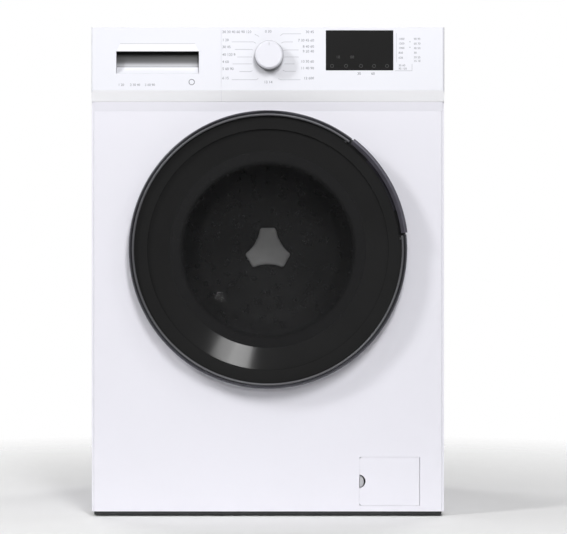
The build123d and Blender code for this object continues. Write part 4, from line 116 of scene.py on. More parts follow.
class WasherSizes(bpy.types.PropertyGroup):
    """Sizes of the marks and the wound pieces."""

    number: length_prop("Number height", "Height of the numbers on the fascia", 0.0044)
    line: length_prop("Line width", "Width of the lines beside the numbers", 0.00060)
    mark_depth: length_prop("Mark depth", "Thickness of the printed marks", 0.00006)
    spring_wire: length_prop("Spring wire", "Diameter of the suspension springs' wire", 0.0032)
    spring_turns: bpy.props.IntProperty(name="Spring turns", description="Turns of each suspension spring",
                                        default=24, min=4)


class WasherStage(bpy.types.PropertyGroup):
    """Floor, lamps and camera."""

    distance: length_prop("Camera distance", "Camera to the front panel", 3.85)
    height: length_prop("Camera height", "Camera above the floor", 0.452)
    lens: bpy.props.FloatProperty(name="Lens", description="Focal length on a 36 mm sensor",
                                  default=144.3, min=10.0, subtype="DISTANCE_CAMERA")
    ambient: strength_prop("Ambient", "Even light from all round", 0.10)
    key: strength_prop("Key", "Radiance of the first soft box", 33.0)
    fill: strength_prop("Fill", "Radiance of the left lamp", 34.0)
    front: strength_prop("Front", "Radiance of the low lamp ahead of the door", 20.0)
    floor: colour_prop("Floor", "Pale floor", (0.84, 0.84, 0.84))


# Colours of the finishes that have no setting

ZINC = (0.56, 0.57, 0.58)
SCREW_STEEL = (0.5, 0.5, 0.51)
# Painted light: paler white for the fascia's faces that turn down, cancelling their shade
SLOPE_PAINTED_LIGHT = (0.97, 0.97, 1.0)
KNOB_WHITE = (0.79, 0.79, 0.85)
TRAY_GREY = (0.62, 0.63, 0.65)
SIPHON_BLUE = (0.05, 0.16, 0.45)
# Painted highlight: paler white of the flat brow above the grip
BROW_HIGHLIGHT_WHITE = (0.885, 0.885, 0.93)
# Grey of the thin line along the top of the grip's brow
TOP_LINE_GREY = (0.60, 0.60, 0.64)
TAB_GREY = (0.54, 0.54, 0.56)
DISPLAY_MARK = (0.034, 0.034, 0.034)
POINTER_GREY = (0.66, 0.66, 0.70)
BOWL_GLASS = (0.16, 0.16, 0.165)
BLACK_PLASTIC = (0.035, 0.035, 0.037)
BLACK_RUBBER = (0.028, 0.028, 0.03)
SPRING_STEEL = (0.42, 0.42, 0.43)
PADDLE_GREY = (0.42, 0.43, 0.45)
CAST_ALUMINIUM = (0.55, 0.55, 0.56)
TURNED_STEEL = (0.48, 0.48, 0.5)
WEIGHT_IRON = (0.33, 0.32, 0.31)
DARK_GREY = (0.10, 0.10, 0.105)

# Settings that several finishes share
MOULDED = {"bump": 0.000004, "scale": 1800.0, "swell": 90.0}
PRINTED = {"drift": 0.9, "scale": 3000.0, "swell": 500.0}
BRUSHED = {"metallic": 1.0, "texture": "brushed lines"}
DRUM_STEEL = {"drift": 0.9, "drift_scale": 14.0, "bump": 0.00002, "stretch": (60.0, 1200.0, 60.0), **BRUSHED}
COAT_ROUGHNESS = 0.04
BUMP_STRENGTH = 0.35

# Painted shade, as (share of the way, brightness): into the grip's pocket up and across it, and into the drum
# towards its back
GRIP_SHADE_RISE = ((0.0, 0.50), (0.08, 0.44), (0.20, 0.48), (0.345, 0.46), (0.375, 0.63), (0.42, 0.56),
             (0.51, 0.24), (0.55, 0.15), (0.60, 0.105), (0.64, 0.082), (0.73, 0.058), (0.80, 0.036),
             (0.90, 0.028), (0.95, 0.014))
GRIP_SHADE_ACROSS = ((0.0, 0.66), (0.03, 0.76), (0.08, 0.90), (0.14, 1.0), (0.90, 1.0), (0.97, 0.84), (1.0, 0.74))
DRUM_SHADE_DEPTH = ((0.0, 0.75), (0.35, 0.60), (0.9, 0.13))

# The window's clear middle ends at a radius, and turns opaque over a width
WINDOW_CLEAR = 0.140
WINDOW_FADE = 0.012
WINDOW_ALPHA = 0.07
BOWL_ALPHA = 0.055


# Shader helpers and shared groups

def add_node(tree, kind, inputs=None, **settings):
    """A shader node with its settings, and values for inputs that aren't linked."""
    node = tree.nodes.new("ShaderNode" + kind)
    for label, value in settings.items():
        setattr(node, label, value)
    for label, value in (inputs or {}).items():
        node.inputs[label].default_value = value
    return node


def wire(tree, *links):
    """Links in a tree, each as node, output, node, input."""
    for source, output, target, entry in links:
        tree.links.new(source.outputs[output], target.inputs[entry])


def new_group(name, inputs, outputs):
    """A shader node group with its sockets, and its input and output nodes."""
    group = bpy.data.node_groups.new(name, "ShaderNodeTree")
    for label, kind, value in inputs:
        socket = group.interface.new_socket(name=label, in_out="INPUT", socket_type=kind)
        socket.default_value = value
    for label, kind in outputs:
        group.interface.new_socket(name=label, in_out="OUTPUT", socket_type=kind)
    return group, group.nodes.new("NodeGroupInput"), group.nodes.new("NodeGroupOutput")


def cloud_group():
    """Colour that drifts between two tints, and a mask of the drift."""
    group, source, sink = new_group(
        "tint drift",
        [("Colour", "NodeSocketColor", (0.8, 0.8, 0.8, 1)), ("Other", "NodeSocketColor", (0.7, 0.7, 0.7, 1)),
         ("Scale", "NodeSocketFloat", 6.0)],
        [("Colour", "NodeSocketColor"), ("Mask", "NodeSocketFloat")])
    place = add_node(group, "TexCoord")
    noise = add_node(group, "TexNoise", {"Detail": 4})
    spread = add_node(group, "MapRange", {"From Min": 0.32, "From Max": 0.68})
    mix = add_node(group, "Mix", data_type="RGBA")
    wire(group, (place, "Object", noise, "Vector"), (source, "Scale", noise, "Scale"),
         (noise, "Fac", spread, "Value"), (spread, "Result", mix, "Factor"), (source, "Colour", mix, "A"),
         (source, "Other", mix, "B"), (mix, "Result", sink, "Colour"), (spread, "Result", sink, "Mask"))
    return group


def grain_group():
    """Height of a fine moulded or sprayed grain, and a mask of its slow swell."""
    group, source, sink = new_group(
        "fine grain", [("Scale", "NodeSocketFloat", 900.0), ("Swell", "NodeSocketFloat", 60.0)],
        [("Height", "NodeSocketFloat"), ("Mask", "NodeSocketFloat")])
    place = add_node(group, "TexCoord")
    fine = add_node(group, "TexNoise", {"Detail": 2})
    slow = add_node(group, "TexNoise", {"Detail": 1})
    both = add_node(group, "Math", {1: 0.5}, operation="MULTIPLY_ADD")
    wire(group, (place, "Object", fine, "Vector"), (place, "Object", slow, "Vector"),
         (source, "Scale", fine, "Scale"), (source, "Swell", slow, "Scale"), (slow, "Fac", both, 0),
         (fine, "Fac", both, 2), (both, "Value", sink, "Height"), (slow, "Fac", sink, "Mask"))
    return group


def brush_group():
    """Long fine scratches that run one way."""
    group, source, sink = new_group(
        "brushed lines", [("Stretch", "NodeSocketVector", (1500.0, 20.0, 1500.0))],
        [("Height", "NodeSocketFloat"), ("Mask", "NodeSocketFloat")])
    place = add_node(group, "TexCoord")
    scale = add_node(group, "VectorMath", operation="MULTIPLY")
    noise = add_node(group, "TexNoise", {"Scale": 1, "Detail": 3})
    mask = add_node(group, "MapRange", {"From Min": 0.3, "From Max": 0.7})
    wire(group, (place, "Object", scale, 0), (source, "Stretch", scale, 1),
         (scale, "Vector", noise, "Vector"), (noise, "Fac", sink, "Height"), (noise, "Fac", mask, "Value"),
         (mask, "Result", sink, "Mask"))
    return group


def spangle_group():
    """Crystal patches of a zinc coat."""
    group, source, sink = new_group(
        "zinc spangle", [("Scale", "NodeSocketFloat", 90.0)],
        [("Mask", "NodeSocketFloat"), ("Height", "NodeSocketFloat")])
    place = add_node(group, "TexCoord")
    cells = add_node(group, "TexVoronoi")
    split = add_node(group, "SeparateColor")
    wire(group, (place, "Object", cells, "Vector"), (source, "Scale", cells, "Scale"),
         (cells, "Color", split, "Color"), (split, "Red", sink, "Mask"), (cells, "Distance", sink, "Height"))
    return group


GROUP_MAKERS = {"tint drift": cloud_group, "fine grain": grain_group, "brushed lines": brush_group,
                "zinc spangle": spangle_group}


def place_group(tree, name, **values):
    """A group node in a material's tree, with its inputs set."""
    group = bpy.data.node_groups.get(name) or GROUP_MAKERS[name]()
    inputs = {label.capitalize(): value for label, value in values.items()}
    return add_node(tree, "Group", inputs, node_tree=group)


def opaque(colour, share=1.0):
    """A colour with alpha, scaled by a share."""
    return tuple(min(1.0, channel * share) for channel in colour) + (1.0,)


def finish(name, colour, drift=0.94, drift_scale=5.0, roughness=(0.3, 0.4), metallic=0.0, coat=0.0,
           specular=0.5, texture="fine grain", bump=0.0001, **values):
    """A material: drifting colour, roughness that varies with a texture, and its fine bump."""
    material = bpy.data.materials.new(name)
    material.use_nodes = True
    material.diffuse_color = opaque(colour)
    tree = material.node_tree
    shader = tree.nodes["Principled BSDF"]
    shader.inputs["Metallic"].default_value = metallic
    shader.inputs["Coat Weight"].default_value = coat
    shader.inputs["Coat Roughness"].default_value = COAT_ROUGHNESS
    shader.inputs["Specular IOR Level"].default_value = specular
    tint = place_group(tree, "tint drift", colour=opaque(colour), other=opaque(colour, drift),
                       scale=drift_scale)
    relief = place_group(tree, texture, **values)
    rough = add_node(tree, "MapRange", {"To Min": roughness[0], "To Max": roughness[1]})
    dent = add_node(tree, "Bump", {"Strength": BUMP_STRENGTH, "Distance": bump})
    wire(tree, (tint, "Colour", shader, "Base Color"), (relief, "Mask", rough, "Value"),
         (rough, "Result", shader, "Roughness"), (relief, "Height", dent, "Height"),
         (dent, "Normal", shader, "Normal"))
    return material


def clear_finish(name, colour, alpha, roughness):
    """A see-through glossy material with faint smears in its gloss."""
    material = finish(name, colour, drift=0.9, roughness=roughness, bump=0.000002, scale=300.0, swell=12.0)
    material.node_tree.nodes["Principled BSDF"].inputs["Alpha"].default_value = alpha
    return material


def base_mix(tree, mask, other=None):
    """Mix a colour into the base colour by a mask, or multiply the base by the mask."""
    base = tree.nodes["Principled BSDF"].inputs["Base Color"]
    mix = add_node(tree, "Mix", data_type="RGBA", blend_type="MIX" if other else "MULTIPLY")
    tree.links.new(base.links[0].from_socket, mix.inputs["A"])
    if other:
        tree.links.new(mask, mix.inputs["Factor"])
        mix.inputs["B"].default_value = opaque(other)
    else:
        mix.inputs["Factor"].default_value = 1.0
        tree.links.new(mask, mix.inputs["B"])
    tree.links.new(mix.outputs["Result"], base)


def paint_shade_along(material, axis, low, high, stops):
    """Paint shade into a finish along an axis, darkening its colour as into a pocket; stops are (share of the
    way, brightness).
    """
    tree = material.node_tree
    place = add_node(tree, "TexCoord")
    split = add_node(tree, "SeparateXYZ")
    way = add_node(tree, "MapRange", {"From Min": low, "From Max": high})
    ramp = add_node(tree, "ValToRGB")
    steps = ramp.color_ramp.elements
    while len(steps) < len(stops):
        steps.new(0.5)
    for step, (position, brightness) in zip(steps, stops):
        step.position = position
        step.color = opaque((brightness,) * 3)
    wire(tree, (place, "Object", split, "Vector"), (split, axis, way, "Value"), (way, "Result", ramp, "Fac"))
    base_mix(tree, ramp.outputs["Color"])


def paint_by_facing(material, colour, axis, start, stop):
    """Give another colour to the faces whose normal has a share of an axis past a start; this paints light
    and shade by the way a face turns.
    """
    tree = material.node_tree
    place = add_node(tree, "TexCoord")
    split = add_node(tree, "SeparateXYZ")
    mask = add_node(tree, "MapRange", {"From Min": start, "From Max": stop})
    wire(tree, (place, "Normal", split, "Vector"), (split, axis, mask, "Value"))
    base_mix(tree, mask.outputs["Result"], tuple(colour))


def dark_rim(material, radius, width):
    """Close a clear disc round the door's axis with an opaque rim that starts at a radius."""
    tree = material.node_tree
    shader = tree.nodes["Principled BSDF"]
    clear = shader.inputs["Alpha"].default_value
    place = add_node(tree, "TexCoord")
    flat = add_node(tree, "VectorMath", {1: (1.0, 0.0, 1.0), 2: (0.0, 0.0, -AXIS_Z)},
                    operation="MULTIPLY_ADD")
    reach = add_node(tree, "VectorMath", operation="LENGTH")
    rim = add_node(tree, "MapRange", {"From Min": radius, "From Max": radius + width, "To Min": clear,
                                      "To Max": 1.0}, interpolation_type="SMOOTHSTEP")
    wire(tree, (place, "Object", flat, 0), (flat, "Vector", reach, 0), (reach, "Value", rim, "Value"),
         (rim, "Result", shader, "Alpha"))


def dress(material, *names):
    """Give a material to CAD nodes."""
    for name in names:
        slots = NODES[name].data.materials
        slots.clear()
        slots.append(material)


# Mesh helpers

def add_object(name, data):
    """A new object in the scene."""
    thing = bpy.data.objects.new(name, data)
    bpy.context.scene.collection.objects.link(thing)
    return thing


def mesh_piece(name, build, material, body):
    """A new piece from a bmesh function, riding on a body where one is given."""
    mesh = bpy.data.meshes.new(name)
    shape = bmesh.new()
    build(shape)
    bmesh.ops.recalc_face_normals(shape, faces=shape.faces)
    shape.to_mesh(mesh)
    shape.free()
    mesh.materials.append(material)
    piece = add_object(name, mesh)
    if body:
        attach(piece, body)
    return piece


def add_slab(shape, near, far):
    """A closed plate between two like loops of corners."""
    near = [shape.verts.new(corner) for corner in near]
    far = [shape.verts.new(corner) for corner in far]
    shape.faces.new(near)
    shape.faces.new(reversed(far))
    for index in range(len(near)):
        after = (index + 1) % len(near)
        shape.faces.new((near[index], far[index], far[after], near[after]))


def add_prism(shape, corners, front, depth):
    """A thin plate standing ahead of a plane, from (x, z) corners."""
    add_slab(shape, [(x, front - depth, z) for x, z in corners], [(x, front, z) for x, z in corners])


def add_plate(shape, corners, offset):
    """A thin plate between corners in space and the same corners moved by an offset."""
    add_slab(shape, corners, [Vector(corner) + Vector(offset) for corner in corners])


def add_sheet(shape, left, right, first, second, offset):
    """A thin plate between two level edges, each a (y, z) pair."""
    (first_y, first_z), (second_y, second_z) = first, second
    add_plate(shape, [(left, first_y, first_z), (right, first_y, first_z), (right, second_y, second_z),
                      (left, second_y, second_z)], offset)


def add_stroke(shape, start, end, width, front, depth):
    """A straight printed line between two (x, z) points."""
    along = Vector(end) - Vector(start)
    side = Vector((-along.y, along.x)).normalized() * (width / 2)
    corners = [Vector(start) + side, Vector(start) - side, Vector(end) - side, Vector(end) + side]
    add_prism(shape, [(corner.x, corner.y) for corner in corners], front, depth)


def bridge(shape, first, second):
    """Faces between two like rings of points."""
    for index in range(len(first)):
        after = (index + 1) % len(first)
        shape.faces.new((first[index], first[after], second[after], second[index]))


def add_band(shape, section, start=0.0, stop=360.0, steps=96, centre=(0.0, 0.0)):
    """A closed section of (radius, y) points swept round a front-to-back axis, in degrees."""
    whole = abs(stop - start) >= 360.0
    rings = []
    for step in range(steps if whole else steps + 1):
        angle = math.radians(start + (stop - start) * step / steps)
        rings.append([shape.verts.new((centre[0] + radius * math.cos(angle), y,
                                       centre[1] + radius * math.sin(angle))) for radius, y in section])
    for index in range(steps):
        bridge(shape, rings[index], rings[(index + 1) % len(rings)])
    if not whole:
        shape.faces.new(reversed(rings[0]))
        shape.faces.new(rings[-1])


def add_ring(shape, radii, front, depth, steps, centre):
    """A flat printed ring between two radii."""
    inner, outer = radii
    section = [(inner, front), (outer, front), (outer, front - depth), (inner, front - depth)]
    add_band(shape, section, steps=steps, centre=centre)


def add_number(shape, text, place, height, front, depth, align="LEFT"):
    """Plain figures as a solid mesh standing on a plane."""
    curve = bpy.data.curves.new("figures", "FONT")
    curve.body = text
    curve.size = height * FIGURE_SIZE
    curve.align_x = align
    curve.extrude = depth / 2
    curve.resolution_u = 3
    holder = add_object("figures", curve)
    bpy.context.view_layer.update()
    mesh = bpy.data.meshes.new_from_object(holder.evaluated_get(bpy.context.evaluated_depsgraph_get()))
    upright = Matrix.Rotation(math.pi / 2, 4, "X")
    mesh.transform(Matrix.Translation((place[0], front - depth / 2, place[1])) @ upright)
    shape.from_mesh(mesh)
    bpy.data.objects.remove(holder)
    bpy.data.curves.remove(curve)
    bpy.data.meshes.remove(mesh)


def add_tube(shape, path, radius, sides):
    """A round tube along points, closed at both ends."""
    rings = []
    count = len(path)
    up = Vector((0.31, 0.17, 0.93)).normalized()
    for index, point in enumerate(path):
        ahead = path[min(index + 1, count - 1)] - path[max(index - 1, 0)]
        ahead.normalize()
        side = ahead.cross(up)
        if side.length < 0.05:
            side = ahead.cross(Vector((1, 0, 0)))
        side.normalize()
        up = side.cross(ahead).normalized()
        ring = []
        for step in range(sides):
            angle = 2 * math.pi * step / sides
            ring.append(shape.verts.new(point + (side * math.cos(angle) + up * math.sin(angle)) * radius))
        rings.append(ring)
    for first, second in zip(rings, rings[1:]):
        bridge(shape, first, second)
    shape.faces.new(reversed(rings[0]))
    shape.faces.new(rings[-1])


def smooth(piece, angle):
    """Smooth shading with the corners sharper than an angle kept."""
    for face in piece.data.polygons:
        face.use_smooth = True
    shape = bmesh.new()
    shape.from_mesh(piece.data)
    for edge in shape.edges:
        if len(edge.link_faces) == 2 and edge.calc_face_angle(0) > math.radians(angle):
            edge.smooth = False
    shape.to_mesh(piece.data)
    shape.free()


# Places on the fascia in metres, from the middle of the machine and above the floor

FIGURE_SIZE = 1.42  # font size to the height of its figures
FIGURE_DROP = 0.4  # share of a figure's height below its middle
NUMBERS = (
    ("LEFT", 1.0, -0.0771, (("20 30 40 60 90 120", 0.8250), ("1 20", 0.8113), ("30 45", 0.7996),
                            ("40 120 9", 0.7866), ("4 60", 0.7745), ("5 60 90", 0.7626), ("6 15", 0.7469))),
    ("RIGHT", 1.0, 0.0779, (("30 45", 0.8250), ("7 30 45 60", 0.8108), ("8 40 60", 0.8002),
                            ("9 20 40", 0.7922), ("10 30 60", 0.7750), ("11 40 90", 0.7638),
                            ("12 600", 0.7468))),
    ("CENTER", 1.0, 0.0005, (("0 30", 0.8257), ("13 14", 0.7402))),
    ("CENTER", 1.0, 0.1540, (("30", 0.7545),)),
    ("CENTER", 1.0, 0.1776, (("60", 0.7545),)),
    ("LEFT", 0.80, 0.2207, (("1400", 0.8132), ("1200", 0.8054), ("1000", 0.7978), ("800", 0.7897),
                            ("600", 0.7814), ("30 60", 0.7684), ("90 120", 0.7630))),
    ("LEFT", 0.80, 0.2464, (("90 95", 0.8132), ("60 70", 0.8052), ("40 50", 0.7976), ("30", 0.7897),
                            ("20 25", 0.7821), ("15 10", 0.7760))),
)
DRAWER_NUMBERS = (("LEFT", 0.9, -0.2530, (("1 20", 0.7356),)), ("LEFT", 0.9, -0.2330, (("2 30 40", 0.7356),)),
                  ("LEFT", 0.9, -0.2080, (("3 60 90", 0.7356),)))
DISPLAY_NUMBERS = (("18", 0.1151), ("88", 0.1388))
DISPLAY_NUMBER_Z = 0.7805
DISPLAY_NUMBER_HEIGHT = 0.0048

# Lines from the numbers to the knob: height, outer end, inner end and rise of the tip
DIAL_LINES = ((0.8084, -0.0610, -0.0240, -0.0025), (0.7957, -0.0560, -0.0290, -0.0010),
              (0.7829, -0.0520, -0.0310, 0.0), (0.7712, -0.0600, -0.0310, 0.0),
              (0.7582, -0.0480, -0.0300, 0.0015), (0.7445, -0.0610, -0.0200, 0.0020),
              (0.8220, 0.0560, 0.0250, -0.0030), (0.8083, 0.0420, 0.0265, -0.0020),
              (0.7948, 0.0520, 0.0300, -0.0010), (0.7829, 0.0520, 0.0310, 0.0),
              (0.7712, 0.0450, 0.0320, 0.0), (0.7588, 0.0470, 0.0290, 0.0015),
              (0.7444, 0.0550, 0.0215, 0.0020))
DIAL_TIP = 0.004

# Other lines: start, end and share of the line's width
OTHER_LINES = (((-0.0225, 0.8215), (-0.0150, 0.8175), 1.0), ((0.2173, 0.7740), (0.2173, 0.8230), 0.6),
               ((0.2148, 0.7596), (0.2435, 0.7596), 1.0), ((0.2435, 0.7594), (0.2435, 0.7711), 1.0))

# Printed rings: their two radii and their middles
DOT_RADII = (0.0001, 0.0009)
DOT_MIDDLES = ((0.2400, 0.8086), (0.2400, 0.7993))
DRAWER_RING_RADII = (0.0040, 0.0052)
DRAWER_RING_MIDDLE = (-0.1288, 0.7405)
TOUCH_RADII = (0.0022, 0.0031)
TOUCH_MARKS = (0.1083, 0.1320, 0.1573, 0.1793, 0.2013)
TOUCH_Z = 0.7677

# Sizes that the pieces share with the casing, in metres
GRIP_INSET = 0.0423
GRIP_WIDTH = 0.1396
GRIP_DROP = 0.0405
GRIP_HEIGHT = 0.0381
GRIP_DEPTH = 0.0160
GRIP_TOE = 0.0110
GRIP_BROW = 0.0125
GRIP_BROW_TAPER = 0.0065
BAND_HEIGHT = 0.0186
BAND_SET = 0.0075
SWAGE_DEPTH = 0.0022
SWAGE_HEIGHT = 0.0160
SLOT_MIDDLE = 0.0642
HANDLE_START = 6.0  # degrees round the door from its right
HANDLE_STOP = 53.0
LIP_RADIUS = 0.2030
SPRING_RADIUS = 0.011
SPRING_HOOK = 0.016  # length of the hooked end
FOOT_SINK = 0.0055  # how far the feet's pads sink into the floor

# The hub cap: reach of an arm, half its width, the pull of its hollow sides, and its domed layers
HUB_REACH = 0.0408
HUB_HALF = 0.0148
HUB_WAIST = 0.0225
HUB_SHOULDER = 0.0026
HUB_CORNER = 0.0030
HUB_BACK = 0.0082
HUB_LAYERS = ((1.0, 0.0), (1.0, 0.0045), (0.965, 0.0066), (0.86, 0.0082), (0.6, 0.0096), (0.3, 0.0101))
HUB_SIDE_STEPS = 12

# Stage: floor, surroundings and lamps
FLOOR_RADIUS = 2.5
FLOOR_FADE = (0.45, 1.5)
FRONT_GLOW = (0.12, 0.68)  # world ahead of the machine in gloss, and what the camera adds
SOFT_BOXES = ((6.2, 1.0), (10.1, 0.76), (14.0, 0.22), (17.9, 0.08))  # bearing, share of the key
SOFT_BOX_PLACE = (30.5, 3.2, (0.22, 1.05))
LAMP_AIM = 0.45

# Lamps: name, bearing, height angle, distance, size and radiance, or the setting that holds it
LAMPS = (("left lamp", -50.0, 33.0, 3.0, (0.5, 0.7), "fill"), ("top lamp", 8.0, 62.0, 2.6, (1.0, 0.6), 2.5),
         ("right lamp", 42.0, 35.0, 3.0, (0.5, 0.7), 6.0),
         ("right rear lamp", 150.0, 40.0, 3.2, (1.2, 1.0), 6.0),
         ("left rear lamp", -150.0, 40.0, 3.2, (1.2, 1.0), 6.0),
         ("front lamp", 0.0, 11.0, 4.6, (1.2, 0.4), "front"))


class WASHER_OT_casing(bpy.types.Operator):
    """Enamel, laminate and zinc finishes of the casing"""

    bl_idname = "washer.casing"
    bl_label = "Casing"

    def execute(self, context):
        colours = context.scene.washer_colours
        dress(finish("white enamel", colours.enamel, drift=0.985, drift_scale=1.6, roughness=(0.26, 0.34),
                     coat=0.15, bump=0.00004, scale=1400.0, swell=140.0),
              "front_panel", "cabinet_wrap")
        dress(finish("white laminate", colours.board, drift=0.99, drift_scale=3.0, roughness=(0.36, 0.44),
                     bump=0.00001, scale=2200.0, swell=300.0), "worktop")
        dress(finish("zinc coat", ZINC, drift=0.86, drift_scale=60.0, roughness=(0.32, 0.52), metallic=1.0,
                     texture="zinc spangle", bump=0.00002, scale=90.0),
              "back_panel", "crossbars", "hinge_bracket", "hinge_arm")
        dress(finish("screw head", SCREW_STEEL, drift=0.8, roughness=(0.25, 0.4),
                     stretch=(900.0, 30.0, 900.0), **BRUSHED), "cabinet_screws")
        return {"FINISHED"}


class WASHER_OT_fascia(bpy.types.Operator):
    """Finishes of the fascia, the drawer, the knob, the display and the flap"""

    bl_idname = "washer.fascia"
    bl_label = "Fascia and drawer"

    def execute(self, context):
        colours = context.scene.washer_colours
        moulding = finish("white moulding", colours.moulding, drift=0.997, drift_scale=2.0,
                          roughness=(0.30, 0.34), **MOULDED)
        # Painted light: faces that turn down, such as the fascia's sloped lower band, are painted paler
        paint_by_facing(moulding, SLOPE_PAINTED_LIGHT, "Z", -0.15, -0.30)
        dress(moulding, "fascia", "drawer_front")
        knob = finish("knob moulding", KNOB_WHITE, drift=0.99, drift_scale=20.0, roughness=(0.28, 0.34),
                      **MOULDED)
        # Painted shade: the knob's sides take the dark skirt colour, darker than a skirt alone to stand in
        # for the shade under the knob
        paint_by_facing(knob, colours.knob_side_shade, "Y", -0.45, -0.15)
        dress(knob, "programme_knob")
        dress(finish("flap moulding", colours.enamel, drift=0.985, roughness=(0.28, 0.36), bump=0.00004,
                     scale=1800.0, swell=120.0), "filter_flap")
        dress(finish("display glass", colours.display, drift=0.9, drift_scale=12.0, roughness=(0.05, 0.10),
                     specular=0.35, bump=0.00001, scale=200.0, swell=9.0), "display_glass")
        dress(finish("drawer tray plastic", TRAY_GREY, drift=0.95, roughness=(0.35, 0.5), bump=0.00005,
                     scale=900.0, swell=80.0), "drawer_tray", "dispenser_housing")
        dress(finish("siphon blue", SIPHON_BLUE, drift=0.9, roughness=(0.3, 0.42), scale=1200.0, swell=60.0),
              "softener_siphon")
        return {"FINISHED"}


class WASHER_OT_grip(bpy.types.Operator):
    """Lining of the drawer's finger grip with painted shade, the brow above it with a painted highlight, and
    a grey line along the brow's top
    """

    bl_idname = "washer.grip"
    bl_label = "Finger grip"

    def execute(self, context):
        colours = context.scene.washer_colours
        low = FASCIA_HIGH.z - GRIP_DROP - GRIP_HEIGHT
        left = FASCIA_LOW.x + GRIP_INSET
        pocket = finish("grip pocket painted shade", colours.moulding, drift=0.99, drift_scale=20.0,
                        roughness=(0.34, 0.42), bump=0.00001, scale=1500.0, swell=60.0)
        # Painted shade: the lining darkens towards the pocket's top and towards its two ends
        paint_shade_along(pocket, "Z", low, low + GRIP_HEIGHT, GRIP_SHADE_RISE)
        paint_shade_along(pocket, "X", left, left + GRIP_WIDTH, GRIP_SHADE_ACROSS)
        mesh_piece("grip_shade_liner", self.shade_liner, pocket, "drawer")
        # Painted highlight: the flat brow is paler than the drawer, standing in for light on a bevel
        brow_highlight = finish("brow painted highlight", BROW_HIGHLIGHT_WHITE, drift=0.997, drift_scale=2.0, roughness=(0.30, 0.34),
                       **MOULDED)
        mesh_piece("grip_brow", self.brow, brow_highlight, "drawer")
        top_line = finish("brow top line", TOP_LINE_GREY, drift=0.95, roughness=(0.4, 0.5), scale=1800.0,
                        swell=90.0)
        mesh_piece("grip_top_line", self.top_line, top_line, "drawer")
        return {"FINISHED"}

    def shade_liner(self, shape):
        """Top, back and ends of the pocket, just inside its walls; this sheet carries the pocket's painted
        shade.
        """
        gap = 0.0003
        skin = 0.0002
        front = FASCIA_LOW.y + 0.0004
        left = FASCIA_LOW.x + GRIP_INSET + gap
        right = left + GRIP_WIDTH - 2 * gap
        high = FASCIA_HIGH.z - GRIP_DROP - gap
        low = high - GRIP_HEIGHT + 2 * gap
        back = front + GRIP_DEPTH - 2 * gap
        toe = front + GRIP_TOE
        add_sheet(shape, left, right, (front, high), (back, high), (0, 0, -skin))
        add_sheet(shape, left, right, (back, high), (toe, low), (0, -skin, 0))
        for x, thick in ((left, skin), (right, -skin)):
            add_plate(shape, [(x, front, high), (x, back, high), (x, toe, low), (x, front, low)],
                      (thick, 0, 0))

    def brow(self, shape):
        """Flat lip at the pocket's top, a hair proud of the drawer's face, painted paler than the drawer as a
        highlight on a bevel.
        """
        proud, thick = 0.00015, 0.0004
        left = FASCIA_LOW.x + GRIP_INSET
        right = left + GRIP_WIDTH
        low = FASCIA_HIGH.z - GRIP_DROP
        high = low + GRIP_BROW
        y = FASCIA_LOW.y - proud
        add_plate(shape, [(left, y, low), (right, y, low), (right - GRIP_BROW_TAPER, y, high),
                          (left + GRIP_BROW_TAPER, y, high)], (0, thick, 0))

    def top_line(self, shape):
        """Thin grey line along the brow's top."""
        width, depth = 0.0011, 0.0001
        left = FASCIA_LOW.x + GRIP_INSET + GRIP_BROW_TAPER
        right = left + GRIP_WIDTH - 2 * GRIP_BROW_TAPER
        z = FASCIA_HIGH.z - GRIP_DROP + GRIP_BROW + 0.0006
        add_stroke(shape, (left, z), (right, z), width, FASCIA_LOW.y, depth)


